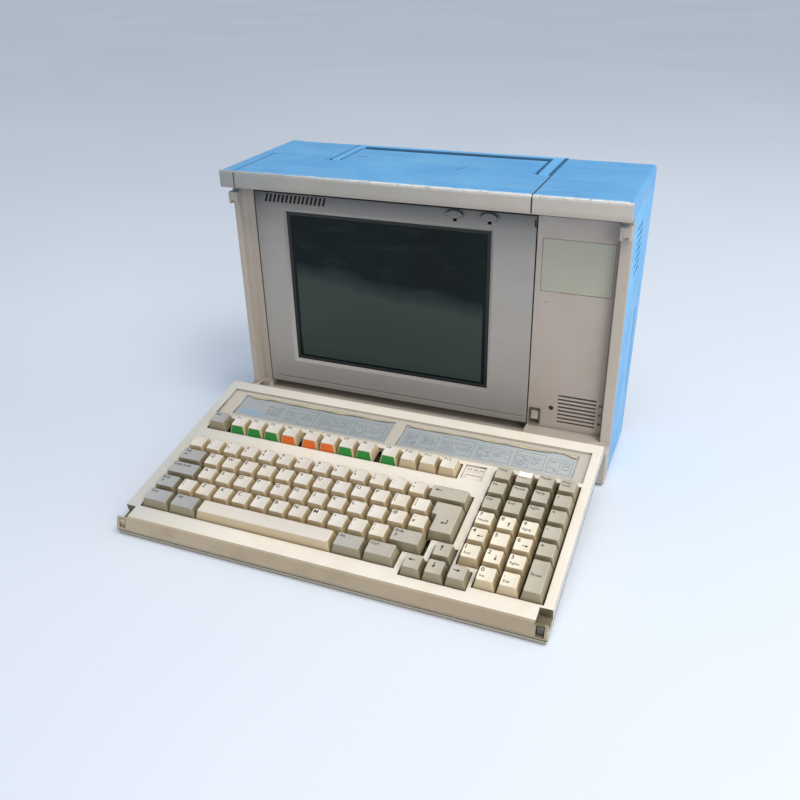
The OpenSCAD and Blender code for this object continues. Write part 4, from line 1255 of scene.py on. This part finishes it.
# ------------------------------------------------------------ added detail
def screen_surround():
    """Dark gasket between the bezel and the glass."""
    bm = bmesh.new()
    cx, cz = -38.8, 149.9
    rows = []
    for (w, h, y, r) in ((219, 167, 14.15, 1.5), (213.6, 161.6, 13.9, 1.5), (209.6, 157.6, 13.9, 1.2), (208.4, 156.4, 14.15, 1.0)):
        lp = rounded_loop(cx - w / 2, cx + w / 2, cz - h / 2, cz + h / 2, r, 4, 0)
        rows.append([(p[0], y, p[1]) for p in lp])
    vs = [[bm.verts.new(p) for p in row] for row in rows]
    n = len(vs[0])
    for a, b in zip(vs, vs[1:] + vs[:1]):
        for i in range(n):
            j = (i + 1) % n
            bm.faces.new((a[i], a[j], b[j], b[i]))
    o = add_object("screen_gasket", bm, "display", MAT["gasket"], (), T)
    smooth_by_angle(o, 30)


screen_surround()


def screws():
    """Pan-head screws on the rear panel, their cross recess drawn as black bars: painted shade of the recess."""
    bm = bmesh.new()
    for k, (x, z) in enumerate([(x, z) for x in (-185, 0, 185) for z in (8, 250)]):
        turn = noise01(k, 5) * 90
        disc(bm, (x, 0, z), (0, 1, 0), 0, 0, [(-1.25, 1.55), (0.0, 1.55), (0.02, 3.0), (0.9, 2.9), (1.45, 2.4), (1.75, 1.5), (1.8, 0.9)], 36)
        # the cross recess: black bars as painted shade
        for a in (turn, turn + 90):
            c, s = math.cos(math.radians(a)), math.sin(math.radians(a))
            pts = []
            for (u, v, y) in ((-1.7, -0.22, 1.25), (1.7, -0.22, 1.25), (1.7, 0.22, 1.25), (-1.7, 0.22, 1.25),
                              (-1.75, -0.24, 1.83), (1.75, -0.24, 1.83), (1.75, 0.24, 1.83), (-1.75, 0.24, 1.83)):
                pts.append(bm.verts.new((x + u * c - v * s, y, z + u * s + v * c)))
            for q in ((0, 1, 2, 3), (4, 5, 6, 7), (0, 1, 5, 4), (1, 2, 6, 5), (2, 3, 7, 6), (3, 0, 4, 7)):
                bm.faces.new([pts[i] for i in q]).material_index = 1
    o = add_object("rear_screw_heads", bm, "tower", [MAT["pin"], MAT["black"]], ("rear_screws",), R)
    smooth_by_angle(o, 30)


screws()


def connector_pins():
    """Contacts of the rear sockets."""
    bm = bmesh.new()
    for cx, half, n in ((-20, 20.0, 13), (45, 5.5, 5), (80, 5.5, 5)):
        for row, m in ((0, n), (1, n - 1)):
            for i in range(m):
                x = cx - half + (2 * half) * (i + (0.5 if row else 0)) / (n - 1)
                disc(bm, (x, -1.4, 38.4 + row * 2.6), (0, 1, 0), 0, 0, [(0, 0.45), (2.6, 0.45), (3.0, 0.25)], 10)
    for i in range(5):
        a = math.radians(30 + 60 * i)
        disc(bm, (120 + 3.4 * math.cos(a), -1.4, 36 + 3.4 * math.sin(a)), (0, 1, 0), 0, 0, [(0, 0.5), (2.4, 0.5), (2.8, 0.3)], 10)
    o = add_object("socket_contacts", bm, "tower", MAT["gold"], (), R)
    smooth_by_angle(o, 40, weighted=False)


connector_pins()


def legend_prints():
    """Generic rules and columns of small marks on the legend sheets."""
    bm = bmesh.new()

    def bar(x0, x1, s0, s1, mat):
        slab(bm, x0, x1, s0, s1, 14.39, 14.44, 0.1, 0.01, 1, mat)

    def frame_box(x0, x1, s0, s1):
        bar(x0, x1, s0, s0 + 0.35, 0)
        bar(x0, x1, s1 - 0.35, s1, 0)
        bar(x0, x0 + 0.35, s0 + 0.35, s1 - 0.35, 0)
        bar(x1 - 0.35, x1, s0 + 0.35, s1 - 0.35, 0)

    def text_lines(x0, x1, s0, s1, seed):
        s, r = s1, 0
        while s > s0:
            x = x0
            while x < x1 - 2:
                w = 1.5 + 4.5 * noise01(seed + r, int(x * 3))
                w = min(w, x1 - x)
                if noise01(seed * 3 + r, int(x)) > 0.22:
                    bar(x, x + w, s - 0.55, s, 0)
                x += w + 0.9
            s -= 1.9
            r += 1

    # ruled tables with columns of short lines
    for k, (a, b) in enumerate(((-118, -84), (-80, -46), (-42, -9), (14, 46), (50, 82), (86, 118), (122, 150), (153, 175))):
        frame_box(a, b, 171.5, 190.5 if k % 2 else 192.5)
        bar(a + 0.35, b - 0.35, 187.4, 187.7, 0)
        bar((a + b) / 2 - 0.15, (a + b) / 2 + 0.15, 171.9, 187.3, 0)
        text_lines(a + 1.6, (a + b) / 2 - 1.6, 173.5, 186.0, k * 5 + 1)
        text_lines((a + b) / 2 + 1.6, b - 1.6, 177.5, 186.0, k * 5 + 3)
    text_lines(-140, -123, 176, 190, 71)
    bar(-168, -141, 172.5, 174.0, 1)
    bar(-168, -146, 175.2, 176.7, 1)
    bar(-166, -150, 177.8, 179.0, 1)
    add_object("legend_sheet_prints", bm, "keyboard", [MAT["ink_grey"], MAT["ink_blue"]], (), K)


legend_prints()


def paper_edges():
    """Aged paper that curls out along the rear edge of the legend windows."""
    bm = bmesh.new()
    for a, b, seed in ((-166, -8, 3), (12, 177.6, 8)):
        n = 90
        lo, hi, lo2, hi2 = [], [], [], []
        for i in range(n + 1):
            t = i / n
            x = a + (b - a) * t
            wave = 0.5 * math.sin(t * 9 + seed) + 0.35 * math.sin(t * 23 + seed * 2)
            if t > 0.84 and a > 0:
                wave -= 2.6 * math.sin((t - 0.84) / 0.16 * math.pi * 1.5)
            s_front = 196.2 - wave * 0.75
            lift = 0.25 + 0.22 * math.sin(t * 31 + seed)
            lo.append(bm.verts.new((x, s_front, 15.56 + lift)))
            hi.append(bm.verts.new((x, 198.2, 15.54)))
            lo2.append(bm.verts.new((x, s_front, 15.70 + lift)))
            hi2.append(bm.verts.new((x, 198.2, 15.66)))
        for i in range(n):
            bm.faces.new((lo[i], hi[i], hi[i + 1], lo[i + 1]))
            bm.faces.new((lo2[i], lo2[i + 1], hi2[i + 1], hi2[i]))
            bm.faces.new((lo[i], lo[i + 1], lo2[i + 1], lo2[i]))
            bm.faces.new((hi[i + 1], hi[i], hi2[i], hi2[i + 1]))
        bm.faces.new((lo[0], lo2[0], hi2[0], hi[0]))
        bm.faces.new((lo[n], hi[n], hi2[n], lo2[n]))
    o = add_object("legend_paper_edges", bm, "keyboard", MAT["paper"], (), K)
    smooth_by_angle(o, 50, weighted=False)


paper_edges()


def key_sticker():
    bm = bmesh.new()
    k = nk(2, 6)
    x0, x1, s0, s1 = top_box(k)
    rows = []
    for inset, dz in ((0.0, 0.0), (0.0, 0.10), (0.12, 0.14)):
        lp = rounded_loop(x0 + 0.6 + inset, x1 - 0.6 - inset, s0 + 7.2 + inset, s1 - 0.4 - inset, 0.8, 4, 5)
        rows.append([(p[0], p[1], dish(k, p[0], p[1]) + 0.07 + dz) for p in lp])
    cx, cs = (x0 + x1) / 2, (s0 + 7.2 + s1 - 0.4) / 2
    rows.append([(cx + (p[0] - cx) * 0.5, cs + (p[1] - cs) * 0.5,
                  dish(k, cx + (p[0] - cx) * 0.5, cs) + 0.21) for p in rows[-1]])
    loft(bm, rows, fan=(cx, cs, dish(k, cx, cs) + 0.21))
    o = add_object("key_sticker", bm, NODE_BODY["keys_navigation"], MAT["sticker"], (), K)
    smooth_by_angle(o, 40, weighted=False)


key_sticker()


def top_seams():
    """Dark joints between the top covers, and painted shadow beside the arms of the handle."""
    bm = bmesh.new()

    def strip(x0, x1, y0, y1, mat, z=277.0):
        slab(bm, x0, x1, y0, y1, z + 0.02, z + 0.12, 0.1, 0.02, 1, mat)

    def front(x0, x1, z0, z1, mat):
        q = [(x0, z0), (x1, z0), (x1, z1), (x0, z1)]
        a = [bm.verts.new((x, -20.14, z)) for x, z in q]
        b = [bm.verts.new((x, -20.0, z)) for x, z in q]
        for i in range(4):
            j = (i + 1) % 4
            bm.faces.new((a[i], b[i], b[j], a[j])).material_index = mat
        bm.faces.new(list(reversed(a))).material_index = mat
        bm.faces.new(b).material_index = mat

    strip(112.5, 113.5, -18.0, 51.0, 0)
    # painted shadow in the gap between the right arm and the joint
    strip(110.1, 113.6, 51.4, 124.0, 1)
    strip(-182.3, -181.7, -18.0, 60.0, 1)
    front(112.45, 113.75, 262.0, 275.0, 0)
    front(-182.45, -181.75, 262.0, 275.0, 0)
    # painted shadow along the inner sides of the two arms
    strip(-102.6, -100.9, 53.0, 107.0, 1)
    strip(96.9, 98.9, 53.5, 107.0, 1)
    o = add_object("top_joint_lines_and_painted_shadows", bm, "tower", [MAT["seam"], MAT["scuff_dark"]], (), T)
    smooth_by_angle(o, 40, weighted=False)


def ribbon(bm, pts, width, z, mat=0, thick=0.05):
    """A thin tapering mark that follows pts on a level face."""
    n = len(pts)
    rows = []
    for i, (x, y) in enumerate(pts):
        a = pts[max(i - 1, 0)]
        b = pts[min(i + 1, n - 1)]
        dx, dy = b[0] - a[0], b[1] - a[1]
        k = math.hypot(dx, dy) or 1.0
        t = i / (n - 1)
        w = width * (0.25 + 0.75 * math.sin(math.pi * min(max(t, 0.04), 0.96))) * 0.5
        ox, oy = -dy / k * w, dx / k * w
        rows.append([bm.verts.new((x + ox, y + oy, z)), bm.verts.new((x - ox, y - oy, z)),
                     bm.verts.new((x - ox, y - oy, z + thick)), bm.verts.new((x + ox, y + oy, z + thick))])
    for r0, r1 in zip(rows, rows[1:]):
        for i in range(4):
            j = (i + 1) % 4
            bm.faces.new((r0[i], r0[j], r1[j], r1[i])).material_index = mat
    bm.faces.new(rows[0]).material_index = mat
    bm.faces.new(list(reversed(rows[-1]))).material_index = mat


def top_marks():
    """Scratches and rubbed spots on the top covers, as they show from above."""
    bm = bmesh.new()

    def line(x0, y0, x1, y1, w, mat, bend=0.0, z=277.0):
        pts = []
        for i in range(9):
            t = i / 8
            s = math.sin(t * math.pi) * bend
            pts.append((x0 + (x1 - x0) * t - (y1 - y0) * s, y0 + (y1 - y0) * t + (x1 - x0) * s))
        ribbon(bm, pts, w, z + 0.01, mat)

    # a dark scratch, a brownish rub beside the left arm, and the arm's short stop mark
    line(22, 42, 29, 62, 0.9, 1, 0.05)
    for i in range(5):
        line(-92 + i * 2.2, 70 + (i % 2) * 2.5, -90.4 + i * 2.2, 76 + (i % 3), 0.9, 2, 0.1)
    line(-117.2, 50.5, -114.6, 59.5, 1.2, 1, 0.1)
    line(-106.0, 46.5, -103.5, 48.0, 0.9, 2, 0.1)
    # fine light hairlines along the case
    for i in range(46):
        x = -176 + 350 * noise01(i, 21)
        y = -12 + 118 * noise01(i, 22)
        if -118 < x < -96 and y > 46 or 92 < x < 116 and y > 46:
            continue
        a = (noise01(i, 23) - 0.5) * (0.5 if i % 3 else 2.6)
        ln = 7 + 30 * noise01(i, 24) ** 2
        x1, y1 = x + ln * math.cos(a), y + ln * math.sin(a)
        if abs(x1) > 186 or not -15 < y1 < 104 or (-187 < x < -176) or (108 < x1 < 118) or (108 < x < 118):
            continue
        line(x, y, x1, y1, 0.16 + 0.22 * noise01(i, 25), 0 if i % 4 else 1, 0.03 * (noise01(i, 26) - 0.5))
    # rubbed-through chips just behind the front edge
    for i in range(34):
        x = -150 + 340 * noise01(i, 31)
        if 106 < x < 120 or x > 190:
            continue
        ln = 0.9 + 4.5 * noise01(i, 32) ** 2
        line(x, -17.2 + 2.2 * noise01(i, 33) ** 2, min(x + ln, 192), -17.4 + 2.0 * noise01(i, 34) ** 2, 0.5 + 0.7 * noise01(i, 35), 3)
    # nick at the right front corner
    line(194.6, -17.6, 196.6, -15.4, 1.3, 1, 0.0)
    line(40, -14.5, 42, -13.4, 1.0, 1, 0.1)
    line(60, -15.5, 63, -15.0, 0.8, 2, 0.1)
    o = add_object("top_scuffs", bm, "tower", [MAT["scuff"], MAT["scuff_dark"], MAT["scuff_brown"], MAT["scuff_white"]], (), T)
    smooth_by_angle(o, 40, weighted=False)


top_seams()
top_marks()


def vent_screens():
    """Dust mesh behind the slots of the bezel and of the right side cover, and a moulded square beside the switch."""
    bm = bmesh.new()
    slab(bm, 194.3, 194.8, 27, 65, 193, 244, 0.2, 0.05, 2)
    o = add_object("vent_mesh_side", bm, "tower", MAT["mesh_blue"], (), T)
    smooth_by_angle(o, 40, weighted=False)
    bm = bmesh.new()
    slab(bm, -172, -99, 14.15, 14.4, 239.6, 247.8, 0.05, 0.02, 1)
    o = add_object("vent_mesh_display", bm, "display", MAT["mesh_olive"], (), T)
    smooth_by_angle(o, 40, weighted=False)
    bm = bmesh.new()
    q = ((127.2, 52.6), (131.0, 52.6), (131.0, 56.4), (127.2, 56.4))
    rows = []
    for inset, y in ((0.0, 11.02), (0.0, 10.86), (0.25, 10.74), (0.75, 10.74)):
        rows.append([bm.verts.new((x + (inset if x < 129 else -inset), y, z + (inset if z < 54 else -inset))) for x, z in q])
    for a, b in zip(rows, rows[1:]):
        for i in range(4):
            j = (i + 1) % 4
            bm.faces.new((a[i], a[j], b[j], b[i]))
    bm.faces.new(rows[-1])
    bm.faces.new(list(reversed(rows[0])))
    o = add_object("moulded_square", bm, "tower", MAT["panel"], (), T)
    smooth_by_angle(o, 40, weighted=False)


vent_screens()


def parting_line():
    """The dark joint between the keyboard's upper shell and its pan."""
    bm = bmesh.new()
    rows = []
    for inset, h in ((0.0, 4.85), (0.0, 5.55), (1.4, 5.55), (1.4, 4.85)):
        rows.append([(p[0], p[1], h) for p in rounded_loop(-197.56 + inset, 197.56 - inset, 0.50 + inset, 215.06 - inset, 0.5, 4, 0)])
    vs = [[bm.verts.new(p) for p in row] for row in rows]
    n = len(vs[0])
    for a, b in zip(vs, vs[1:] + vs[:1]):
        for i in range(n):
            j = (i + 1) % n
            bm.faces.new((a[i], a[j], b[j], b[i]))
    o = add_object("keyboard_parting_line", bm, "keyboard", MAT["seam"], (), K)
    smooth_by_angle(o, 40, weighted=False)


parting_line()


# ------------------------------------------------------------ stage
floor_m = Mat("floor_finish")
floor_m.color(floor_m.mix(floor_m.ramp(floor_m.noise(1.3, 3.0), 0.3, 0.7), (0.66, 0.72, 0.82, 1), (0.70, 0.76, 0.85, 1)))
floor_m.rough(0.85)
bm = bmesh.new()
bmesh.ops.create_grid(bm, x_segments=8, y_segments=8, size=25.0)
me = bpy.data.meshes.new("floor")
bm.to_mesh(me)
bm.free()
me.materials.append(floor_m.m)
floor = bpy.data.objects.new("floor", me)
bpy.context.scene.collection.objects.link(floor)


def area(name, loc, target, size, power, color):
    d = bpy.data.lights.new(name, "AREA")
    d.shape = "DISK"
    d.size = size
    d.energy = power
    d.color = color
    o = bpy.data.objects.new(name, d)
    bpy.context.scene.collection.objects.link(o)
    o.location = loc
    o.rotation_euler = (Vector(target) - Vector(loc)).to_track_quat("-Z", "Y").to_euler()
    return o


area("key_light", (0.85, -0.36, 1.55), (0.10, -0.05, 0.05), 0.8, 11.5, (1.0, 0.955, 0.88))
area("top_light", (-0.25, 0.30, 1.9), (0, 0, 0.1), 1.3, 2.5, (0.95, 0.98, 1.0))
area("side_light", (2.2, 0.9, 1.1), (0.1, 0.1, 0.15), 1.2, 10.2, (0.90, 0.96, 1.0))
area("front_light", (1.35, -1.35, 0.80), (0.18, 0, 0.18), 0.9, 10, (1.0, 0.95, 0.88))
sun = bpy.data.lights.new("soft_sun", "SUN")
sun.energy = 1.2
sun.angle = math.radians(50)
sun.color = (1.0, 0.985, 0.96)
sun_o = bpy.data.objects.new("soft_sun", sun)
bpy.context.scene.collection.objects.link(sun_o)
sun_o.rotation_euler = Vector((-0.25, 0.28, -1.0)).to_track_quat("-Z", "Y").to_euler()
world = bpy.data.worlds.new("world")
world.use_nodes = True
world.node_tree.nodes["Background"].inputs[0].default_value = (0.80, 0.87, 0.97, 1)
world.node_tree.nodes["Background"].inputs[1].default_value = 0.36
bpy.context.scene.world = world
bpy.context.scene.view_settings.view_transform = "Standard"
